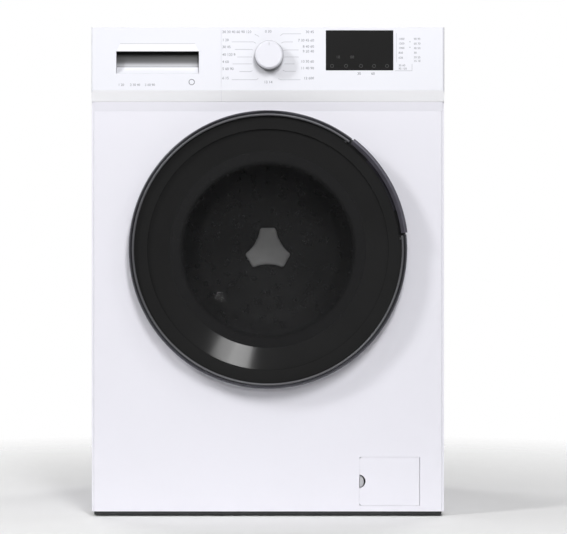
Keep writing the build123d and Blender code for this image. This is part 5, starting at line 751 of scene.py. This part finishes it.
class WASHER_OT_seams(bpy.types.Operator):
    """Pale strips behind the seams of the casing, and the tab behind the flap's finger slot"""

    bl_idname = "washer.seams"
    bl_label = "Seams"

    def execute(self, context):
        enamel = NODES["front_panel"].data.materials[0]
        mesh_piece("seam_fill", self.casing, enamel, "cabinet")
        mesh_piece("flap_seam_fill", self.flap, enamel, "flap")
        tab = finish("slot tab", TAB_GREY, drift=0.9, roughness=(0.35, 0.45), scale=1500.0, swell=90.0)
        mesh_piece("flap_slot_tab", self.tab, tab, "flap")
        return {"FINISHED"}

    def casing(self, shape):
        """Strips at the drawer's right end, above the front panel and down its two sides."""
        skin = (0, 0.0003, 0)
        front = FASCIA_LOW.y + 0.0003
        band_top = FASCIA_LOW.z + BAND_HEIGHT
        left, right = DRAWER_HIGH.x + 0.00005, DRAWER_HIGH.x + 0.00055
        add_sheet(shape, left, right, (front, FASCIA_HIGH.z - 0.0006), (front, band_top), skin)
        add_sheet(shape, left, right, (front, band_top), (front + BAND_SET, FASCIA_LOW.z), skin)
        half = PANEL_HIGH.x - 0.0006
        add_sheet(shape, -half, half, (PANEL_LOW.y - SWAGE_DEPTH, FASCIA_LOW.z - 0.0002),
                  (PANEL_LOW.y - 0.0001, FASCIA_LOW.z - SWAGE_HEIGHT), skin)
        y = PANEL_LOW.y + 0.00025
        for side in (-1, 1):
            inner, outer = side * (PANEL_HIGH.x - 0.0005), side * (FASCIA_HIGH.x - 0.0003)
            add_sheet(shape, inner, outer, (y, PANEL_LOW.z + 0.0005), (y, PANEL_HIGH.z - 0.0003), skin)

    def flap(self, shape):
        """Strips behind three sides of the flap, clear of its finger slot."""
        skin = (0, 0.0004, 0)
        seam, slot, margin, hinge = 0.00042, 0.0118, 0.0012, 0.006
        left, right = FLAP_LOW.x - 0.00045, FLAP_HIGH.x - hinge
        low, high = FLAP_LOW.z + margin, FLAP_HIGH.z - margin
        y = PANEL_LOW.y + 0.0007
        for foot, top in ((low, SLOT_MIDDLE - slot), (SLOT_MIDDLE + slot, high)):
            add_sheet(shape, left, left + seam, (y, foot), (y, top), skin)
        for z in (high, low - seam):
            add_sheet(shape, left, right, (y, z), (y, z + seam), skin)

    def tab(self, shape):
        """Two half discs, one behind the other, seen through the finger slot."""
        steps = 14
        thick = 0.0008
        x = FLAP_LOW.x + 0.0003
        for width, height, setback in ((0.0048, 0.0078, 0.0026), (0.0068, 0.0098, 0.0042)):
            corners = []
            for step in range(steps + 1):
                angle = math.radians(-90 + 180 * step / steps)
                corners.append((x + width * math.cos(angle), SLOT_MIDDLE + height * math.sin(angle)))
            add_prism(shape, corners, PANEL_LOW.y + setback, thick)


class WASHER_OT_marks(bpy.types.Operator):
    """Plain numbers, lines and rings on the fascia, the drawer, the display and the knob"""

    bl_idname = "washer.marks"
    bl_label = "Marks"

    def execute(self, context):
        sizes = context.scene.washer_sizes
        colours = context.scene.washer_colours
        ink = finish("grey ink", colours.ink, drift_scale=400.0, roughness=(0.5, 0.6), **PRINTED)
        fine = finish("fine ink", colours.fine_ink, drift_scale=400.0, roughness=(0.5, 0.6), **PRINTED)
        mesh_piece("fascia_numbers", lambda shape: self.numbers(shape, sizes, NUMBERS), ink, "cabinet")
        mesh_piece("fascia_lines", lambda shape: self.lines(shape, sizes), fine, "cabinet")
        mesh_piece("drawer_numbers", lambda shape: self.drawer(shape, sizes), ink, "drawer")
        glow = finish("display marks", DISPLAY_MARK, roughness=(0.3, 0.4), **PRINTED)
        mesh_piece("display_marks", self.display, glow, "cabinet")
        glass = NODES["display_glass"].data.materials[0]
        mesh_piece("display_border", self.border, glass, "cabinet")
        pointer = finish("pointer grey", POINTER_GREY, drift=0.92, roughness=(0.45, 0.55), scale=2500.0,
                         swell=300.0)
        mesh_piece("knob_pointer", self.pointer, pointer, "knob")
        return {"FINISHED"}

    def numbers(self, shape, sizes, columns):
        """Columns of numbers, each with its alignment, share of the height and place across."""
        for align, share, x, rows in columns:
            height = sizes.number * share
            for text, z in rows:
                add_number(shape, text, (x, z - height * FIGURE_DROP), height, FASCIA_LOW.y,
                           sizes.mark_depth, align)

    def lines(self, shape, sizes):
        """Lines with bent tips round the knob, and the lines and dots beside the display."""
        front, depth, width = FASCIA_LOW.y, sizes.mark_depth, sizes.line
        for z, outer, inner, rise in DIAL_LINES:
            tip = inner - math.copysign(DIAL_TIP, inner)
            add_stroke(shape, (outer, z), (inner, z), width, front, depth)
            add_stroke(shape, (inner, z), (tip, z + rise), width, front, depth)
        for start, end, share in OTHER_LINES:
            add_stroke(shape, start, end, width * share, front, depth)
        for middle in DOT_MIDDLES:
            add_ring(shape, DOT_RADII, front, depth, 12, middle)

    def drawer(self, shape, sizes):
        """Numbers under the grip and a plain ring."""
        self.numbers(shape, sizes, DRAWER_NUMBERS)
        add_ring(shape, DRAWER_RING_RADII, FASCIA_LOW.y, sizes.mark_depth, 28, DRAWER_RING_MIDDLE)

    def display(self, shape):
        """Touch rings and unlit figures on the display."""
        front, depth = DISPLAY_LOW.y, 0.00005
        for x in TOUCH_MARKS:
            add_ring(shape, TOUCH_RADII, front, depth, 20, (x, TOUCH_Z))
        for text, x in DISPLAY_NUMBERS:
            add_number(shape, text, (x, DISPLAY_NUMBER_Z), DISPLAY_NUMBER_HEIGHT, front, depth)

    def border(self, shape):
        """Thin glass edge, wider at the left and the foot."""
        left, right = DISPLAY_LOW.x - 0.0015, DISPLAY_HIGH.x + 0.0001
        low, high = DISPLAY_LOW.z - 0.0014, DISPLAY_HIGH.z + 0.0001
        add_prism(shape, [(left, low), (right, low), (right, high), (left, high)], FASCIA_LOW.y, 0.0003)

    def pointer(self, shape):
        """Short mark near the knob's rim."""
        half, inner, outer = 0.00075, 0.0157, 0.0208
        x = (KNOB_LOW.x + KNOB_HIGH.x) / 2
        z = (KNOB_LOW.z + KNOB_HIGH.z) / 2
        add_prism(shape, [(x - half, z + inner), (x + half, z + inner), (x + half, z + outer),
                          (x - half, z + outer)], KNOB_LOW.y + 0.0008, 0.0004)


class WASHER_OT_door(bpy.types.Operator):
    """Ring, dished cover, smoked window, bowl and inner frame of the door"""

    bl_idname = "washer.door"
    bl_label = "Door"

    def execute(self, context):
        colours = context.scene.washer_colours
        dress(finish("dark trim", colours.trim, drift=0.8, drift_scale=20.0, roughness=(0.16, 0.24),
                     bump=0.000002, stretch=(40.0, 900.0, 40.0), **BRUSHED), "door_trim_ring")
        # Painted highlight: a real bead, given a paler, duller finish than the ring to show the ring's
        # highlight
        bright = finish("painted highlight line", colours.bright, drift=0.85, drift_scale=14.0, roughness=(0.40, 0.50),
                        metallic=0.5, texture="brushed lines", bump=0.000002, stretch=(40.0, 900.0, 40.0))
        smooth(mesh_piece("trim_line", self.trim_line, bright, "door"), 60.0)
        cover = finish("gloss black", colours.gloss_black, drift=0.85, drift_scale=8.0,
                       roughness=(0.07, 0.10), specular=0.11, bump=0.000002, scale=400.0, swell=20.0)
        dress(cover, "door_cone")
        smooth(mesh_piece("cone_lip", self.cone_lip, cover, "door"), 20.0)
        smoked = clear_finish("smoked glass", colours.window, WINDOW_ALPHA, (0.03, 0.06))
        dark_rim(smoked, WINDOW_CLEAR, WINDOW_FADE)
        dress(smoked, "door_window")
        dress(clear_finish("bowl glass", BOWL_GLASS, BOWL_ALPHA, (0.02, 0.05)), "door_bowl")
        black = finish("black plastic", BLACK_PLASTIC, drift=0.8, roughness=(0.38, 0.52), bump=0.00008,
                       scale=1400.0, swell=120.0)
        dress(black, "door_inner_frame", "door_lock", "latch_hook", "base_tray", "rear_outlets",
              "transit_plugs", "control_module", "fan_motor")
        mesh_piece("handle_backing", self.handle_backing, black, "door")
        return {"FINISHED"}

    def trim_line(self, shape):
        """Round bead along the ring's inner edge, broken at the handle; its paler, duller finish paints the
        highlight along the ring's nose.
        """
        middle, y, bead = RING_HIGH.x - 0.0076, RING_LOW.y + 0.0016, 0.0021
        angles = [math.radians(angle) for angle in range(0, 360, 24)]
        section = [(middle + bead * math.cos(angle), y + bead * math.sin(angle)) for angle in angles]
        add_band(shape, section, start=HANDLE_STOP, stop=HANDLE_START + 360.0, steps=160,
                 centre=(0.0, AXIS_Z))

    def cone_lip(self, shape):
        """Flat lip of the dished cover, narrower beside the handle."""
        front = PANEL_LOW.y
        for outer, rise, start, stop in ((0.2211, 0.0285, HANDLE_START, HANDLE_STOP),
                                         (0.2252, 0.0289, HANDLE_STOP, HANDLE_START + 360.0)):
            section = [(LIP_RADIUS - 0.0004, front - 0.0228), (LIP_RADIUS, front - 0.0265),
                       (outer, front - rise), (outer, front - rise + 0.0012),
                       (LIP_RADIUS + 0.0010, front - 0.0238)]
            add_band(shape, section, start=start, stop=stop, steps=120, centre=(0.0, AXIS_Z))

    def handle_backing(self, shape):
        """Dark wall behind the handle, with a block at each of its ends."""
        inner, outer, thick = 0.2065, 0.2344, 0.0012
        y = PANEL_LOW.y - 0.0068
        section = [(inner, y), (outer, y), (outer, y + thick), (inner, y + thick)]
        add_band(shape, section, start=HANDLE_START - 2.0, stop=HANDLE_STOP + 2.0, steps=40,
                 centre=(0.0, AXIS_Z))
        front = RING_LOW.y + 0.0030
        block = [(0.2225, front), (0.2322, front), (0.2343, front + 0.0050), (0.2343, y), (0.2225, y)]
        for start in (HANDLE_START - 1.75, HANDLE_STOP + 0.75):
            add_band(shape, block, start=start, stop=start + 1.0, steps=2, centre=(0.0, AXIS_Z))


class WASHER_OT_handle(bpy.types.Operator):
    """Dark plated finish of the handle, and the wound springs"""

    bl_idname = "washer.handle"
    bl_label = "Handle and springs"

    def execute(self, context):
        colours = context.scene.washer_colours
        sizes = context.scene.washer_sizes
        dress(finish("dark plating", colours.handle, drift=0.8, drift_scale=60.0, roughness=(0.34, 0.44),
                     metallic=0.35, texture="brushed lines", bump=0.000004, stretch=(60.0, 900.0, 60.0)),
              "door_handle")
        wire_steel = finish("spring steel", SPRING_STEEL, drift=0.8, roughness=(0.25, 0.4),
                            stretch=(500.0, 500.0, 40.0), **BRUSHED)
        dress(wire_steel, "handle_spring", "suspension_springs")
        springs = mesh_piece("wound_springs", lambda shape: self.springs(shape, sizes), wire_steel, None)
        smooth(springs, 180.0)
        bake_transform(springs)
        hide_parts("suspension_springs")
        return {"FINISHED"}

    def springs(self, shape, sizes):
        """Two springs of round wire, each with a hooked end above and below."""
        per_turn = 14
        steps = sizes.spring_turns * per_turn
        wire = sizes.spring_wire / 2
        reach = SPRING_RADIUS - wire
        y = SPRING_HIGH.y - SPRING_RADIUS
        low, high = SPRING_LOW.z + SPRING_HOOK, SPRING_HIGH.z - SPRING_HOOK
        foot, top = SPRING_LOW.z + wire, SPRING_HIGH.z - wire
        hook_tip, hook_bend, hook_neck, lead = 0.009, 0.003, 0.006, 0.004
        for x in (SPRING_LOW.x + SPRING_RADIUS, SPRING_HIGH.x - SPRING_RADIUS):
            path = [Vector((x, y - hook_tip, foot)), Vector((x, y - hook_bend, foot)),
                    Vector((x, y, SPRING_LOW.z + hook_neck)), Vector((x, y, low - lead))]
            for step in range(steps + 1):
                angle = 2 * math.pi * step / per_turn
                path.append(Vector((x + reach * math.cos(angle), y + reach * math.sin(angle),
                                    low + (high - low) * (step / steps))))
            path += [Vector((x, y, high + lead)), Vector((x, y, SPRING_HIGH.z - hook_neck)),
                     Vector((x, y - hook_bend, top)), Vector((x, y - hook_tip, top))]
            add_tube(shape, path, wire, sides=8)


class WASHER_OT_drum(bpy.types.Operator):
    """Stainless drum with shade painted into it towards its back, its paddles and hub cap, the seal and the
    tub round it
    """

    bl_idname = "washer.drum"
    bl_label = "Drum and tub"

    def execute(self, context):
        colours = context.scene.washer_colours
        dress(finish("stainless drum", colours.steel, roughness=(0.16, 0.30), **DRUM_STEEL),
              "wash_heater", "dryer_heater")
        drum_shade = finish("drum steel painted shade", colours.steel, roughness=(0.24, 0.36), **DRUM_STEEL)
        # Painted shade: the drum's steel darkens towards the back of the drum
        paint_shade_along(drum_shade, "Y", DRUM_LOW.y, DRUM_HIGH.y, DRUM_SHADE_DEPTH)
        dress(drum_shade, "drum_shell")
        dress(finish("paddle plastic", PADDLE_GREY, drift=0.92, roughness=(0.35, 0.5), scale=1200.0,
                     swell=70.0), "drum_lifters", "pump_impeller", "fan_wheel", "damper_cylinders")
        dress(finish("tub plastic", colours.tub, drift=0.9, drift_scale=9.0, roughness=(0.42, 0.6),
                     bump=0.0001, scale=700.0, swell=50.0),
              "tub_front", "tub_rear", "drain_pump", "drying_duct")
        dress(finish("seal rubber", colours.rubber, drift=0.85, drift_scale=20.0, roughness=(0.5, 0.68),
                     bump=0.00006, scale=900.0, swell=60.0), "door_gasket")
        cap = finish("hub cap", colours.hub, drift=0.92, drift_scale=60.0, roughness=(0.45, 0.6),
                     scale=900.0, swell=50.0)
        smooth(mesh_piece("hub_cap", self.hub, cap, "drum"), 50.0)
        dress(finish("black rubber", BLACK_RUBBER, drift=0.7, drift_scale=30.0, roughness=(0.6, 0.78),
                     bump=0.00008, scale=800.0, swell=80.0),
              "filter_seal", "drive_belt", "water_hoses", "foot_front_left", "foot_front_right",
              "foot_rear_left", "foot_rear_right")
        return {"FINISHED"}

    def hub(self, shape):
        """Domed cap from layers of one outline, each smaller and further forward."""
        back = DRUM_HIGH.y - HUB_BACK
        outline = self.outline()
        rings = [[shape.verts.new((x * scale, back - rise, AXIS_Z + z * scale)) for x, z in outline]
                 for scale, rise in HUB_LAYERS]
        for first, second in zip(rings, rings[1:]):
            bridge(shape, first, second)
        shape.faces.new(rings[-1])
        shape.faces.new(reversed(rings[0]))

    def outline(self):
        """Three arms with blunt ends and hollow sides, as (x, z) points."""
        points = []
        shoulder = HUB_REACH - HUB_SHOULDER
        corner = HUB_HALF - HUB_CORNER
        for arm in range(3):
            turn = math.radians(90 + 120 * arm)
            along, across = self.directions(turn)
            blunt = [along * shoulder - across * HUB_HALF, along * HUB_REACH - across * corner,
                     along * HUB_REACH + across * corner, along * shoulder + across * HUB_HALF]
            next_along, next_across = self.directions(turn + math.radians(120))
            target = next_along * shoulder - next_across * HUB_HALF
            pull = self.directions(turn + math.radians(60))[0] * HUB_WAIST
            points += blunt
            for step in range(1, HUB_SIDE_STEPS):
                share = step / HUB_SIDE_STEPS
                points.append(blunt[-1] * (1 - share) ** 2 + pull * (2 * share * (1 - share))
                              + target * share ** 2)
        return [(point.x, point.y) for point in points]

    def directions(self, turn):
        """Unit vectors along an arm and across it."""
        return Vector((math.cos(turn), math.sin(turn))), Vector((-math.sin(turn), math.cos(turn)))


class WASHER_OT_drive(bpy.types.Operator):
    """Cast, turned and moulded finishes of the drive and the pump"""

    bl_idname = "washer.drive"
    bl_label = "Drive and pump"

    def execute(self, context):
        dress(finish("cast aluminium", CAST_ALUMINIUM, drift=0.86, drift_scale=40.0, roughness=(0.38, 0.55),
                     metallic=1.0, bump=0.00015, scale=600.0, swell=90.0),
              "drum_spider", "drum_pulley", "motor_body")
        dress(finish("turned steel", TURNED_STEEL, drift=0.85, roughness=(0.18, 0.32),
                     stretch=(80.0, 1500.0, 80.0), **BRUSHED),
              "drum_shaft", "drum_bearings", "damper_rods", "motor_pulley")
        dress(finish("weight casting", WEIGHT_IRON, drift=0.8, drift_scale=25.0, roughness=(0.7, 0.85),
                     bump=0.0004, scale=300.0, swell=40.0), "counterweights")
        dress(finish("dark grey plastic", DARK_GREY, drift=0.85, roughness=(0.35, 0.48), scale=1300.0,
                     swell=90.0), "pump_filter", "inlet_valve")
        return {"FINISHED"}


class WASHER_OT_stage(bpy.types.Operator):
    """Pale floor, soft lamps, the surroundings and the camera"""

    bl_idname = "washer.stage"
    bl_label = "Stage"

    def execute(self, context):
        settings = context.scene.washer_stage
        self.floor(settings)
        self.surroundings(context, settings)
        self.lamps(settings)
        self.camera(context, settings)
        context.scene.view_settings.view_transform = "Standard"
        return {"FINISHED"}

    def floor(self, settings):
        """A pale disc that fades out, a little way up the feet."""
        material = bpy.data.materials.new("pale floor")
        material.use_nodes = True
        tree = material.node_tree
        shader = tree.nodes["Principled BSDF"]
        shader.inputs["Base Color"].default_value = opaque(settings.floor)
        shader.inputs["Roughness"].default_value = 0.7
        shader.inputs["Specular IOR Level"].default_value = 0.2
        place = add_node(tree, "TexCoord")
        reach = add_node(tree, "VectorMath", operation="LENGTH")
        fade = add_node(tree, "MapRange", {"From Min": FLOOR_FADE[0], "From Max": FLOOR_FADE[1],
                                           "To Min": 1.0, "To Max": 0.0})
        wire(tree, (place, "Object", reach, 0), (reach, "Value", fade, "Value"),
             (fade, "Result", shader, "Alpha"))
        mesh = bpy.data.meshes.new("floor")
        shape = bmesh.new()
        bmesh.ops.create_circle(shape, cap_ends=True, segments=96, radius=FLOOR_RADIUS)
        shape.to_mesh(mesh)
        shape.free()
        mesh.materials.append(material)
        floor = add_object("floor", mesh)
        floor.location.z = FOOT_SINK

    def surroundings(self, context, settings):
        """Even pale light, and a world that gloss and the camera see as dimmer ahead of the machine."""
        world = bpy.data.worlds.new("studio")
        context.scene.world = world
        world.use_nodes = True
        tree = world.node_tree
        even = tree.nodes["Background"]
        even.inputs["Color"].default_value = (1.0, 1.0, 1.0, 1.0)
        even.inputs["Strength"].default_value = settings.ambient
        seen = add_node(tree, "Background", {"Strength": 1.0})
        place = add_node(tree, "TexCoord")
        split = add_node(tree, "SeparateXYZ")
        turn = add_node(tree, "MapRange", {"From Min": -0.7, "From Max": 0.7, "To Max": 1.0},
                        interpolation_type="SMOOTHSTEP")
        ray = add_node(tree, "LightPath")
        ahead = add_node(tree, "Math", {1: FRONT_GLOW[1], 2: FRONT_GLOW[0]}, operation="MULTIPLY_ADD")
        first = add_node(tree, "Math", operation="MAXIMUM")
        second = add_node(tree, "Math", operation="MAXIMUM")
        mix = add_node(tree, "MixShader")
        wire(tree, (ray, "Is Camera Ray", ahead, 0), (ahead, "Value", turn, "To Min"),
             (place, "Generated", split, "Vector"), (split, "Y", turn, "Value"),
             (turn, "Result", seen, "Color"), (ray, "Is Camera Ray", first, 0),
             (ray, "Is Glossy Ray", first, 1), (first, "Value", second, 0),
             (ray, "Is Transmission Ray", second, 1), (second, "Value", mix, "Fac"),
             (even, "Background", mix, 1), (seen, "Background", mix, 2),
             (mix, "Shader", tree.nodes["World Output"], "Surface"))

    def lamps(self, settings):
        """A row of soft boxes that fade to the right, and the single lamps."""
        for number, (turn, share) in enumerate(SOFT_BOXES, 1):
            self.lamp(f"soft box {number}", turn, *SOFT_BOX_PLACE, settings.key * share)
        for name, turn, rise, distance, size, strength in LAMPS:
            radiance = getattr(settings, strength) if isinstance(strength, str) else strength
            lamp = self.lamp(name, turn, rise, distance, size, radiance)
        lamp.visible_glossy = False

    def lamp(self, name, turn, rise, distance, size, radiance):
        """An area lamp of a plain radiance, by its bearing from the front and its height angle."""
        data = bpy.data.lights.new(name, "AREA")
        data.shape = "RECTANGLE"
        data.size, data.size_y = size
        data.energy = radiance * math.pi * size[0] * size[1]
        turn, rise = math.radians(turn), math.radians(rise)
        way = Vector((math.sin(turn) * math.cos(rise), -math.cos(turn) * math.cos(rise), math.sin(rise)))
        holder = add_object(name, data)
        holder.location = Vector((0.0, PANEL_LOW.y, LAMP_AIM)) + way * distance
        holder.rotation_euler = (-way).to_track_quat("-Z", "Y").to_euler()
        holder.visible_camera = False
        return holder

    def camera(self, context, settings):
        """The camera ahead of the door, with the photograph's framing."""
        data = bpy.data.cameras.new("camera")
        data.lens = settings.lens
        data.sensor_width = 36.0
        data.sensor_fit = "HORIZONTAL"
        data.shift_x = 0.0275
        data.shift_y = -0.0250
        data.clip_end = 60.0
        holder = add_object("camera", data)
        holder.location = (0.0, PANEL_LOW.y - settings.distance, settings.height)
        holder.rotation_euler = (math.pi / 2, 0.0, 0.0)
        context.scene.camera = holder


class WASHER_PT_panel(bpy.types.Panel):
    """Lists the washer dryer's operators"""

    bl_label = "Washer dryer"
    bl_idname = "WASHER_PT_panel"
    bl_space_type = "VIEW_3D"
    bl_region_type = "UI"
    bl_category = "Washer dryer"

    def draw(self, context):
        for operator in OPERATORS:
            self.layout.operator(operator.bl_idname)


SETTINGS = (("washer_colours", WasherColours), ("washer_sizes", WasherSizes), ("washer_stage", WasherStage))
OPERATORS = (WASHER_OT_stage, WASHER_OT_casing, WASHER_OT_fascia, WASHER_OT_grip, WASHER_OT_seams,
             WASHER_OT_marks, WASHER_OT_door, WASHER_OT_handle, WASHER_OT_drum, WASHER_OT_drive)


def register():
    """Register the settings, the operators and the panel."""
    for name, kind in SETTINGS:
        bpy.utils.register_class(kind)
        setattr(bpy.types.Scene, name, bpy.props.PointerProperty(type=kind))
    for kind in OPERATORS + (WASHER_PT_panel,):
        bpy.utils.register_class(kind)


def unregister():
    """Undo register."""
    for kind in reversed(OPERATORS + (WASHER_PT_panel,)):
        bpy.utils.unregister_class(kind)
    for name, kind in reversed(SETTINGS):
        delattr(bpy.types.Scene, name)
        bpy.utils.unregister_class(kind)


def main():
    """Make every piece."""
    register()
    for operator in OPERATORS:
        group, call = operator.bl_idname.split(".")
        getattr(getattr(bpy.ops, group), call)()


if __name__ == "__main__":
    main()
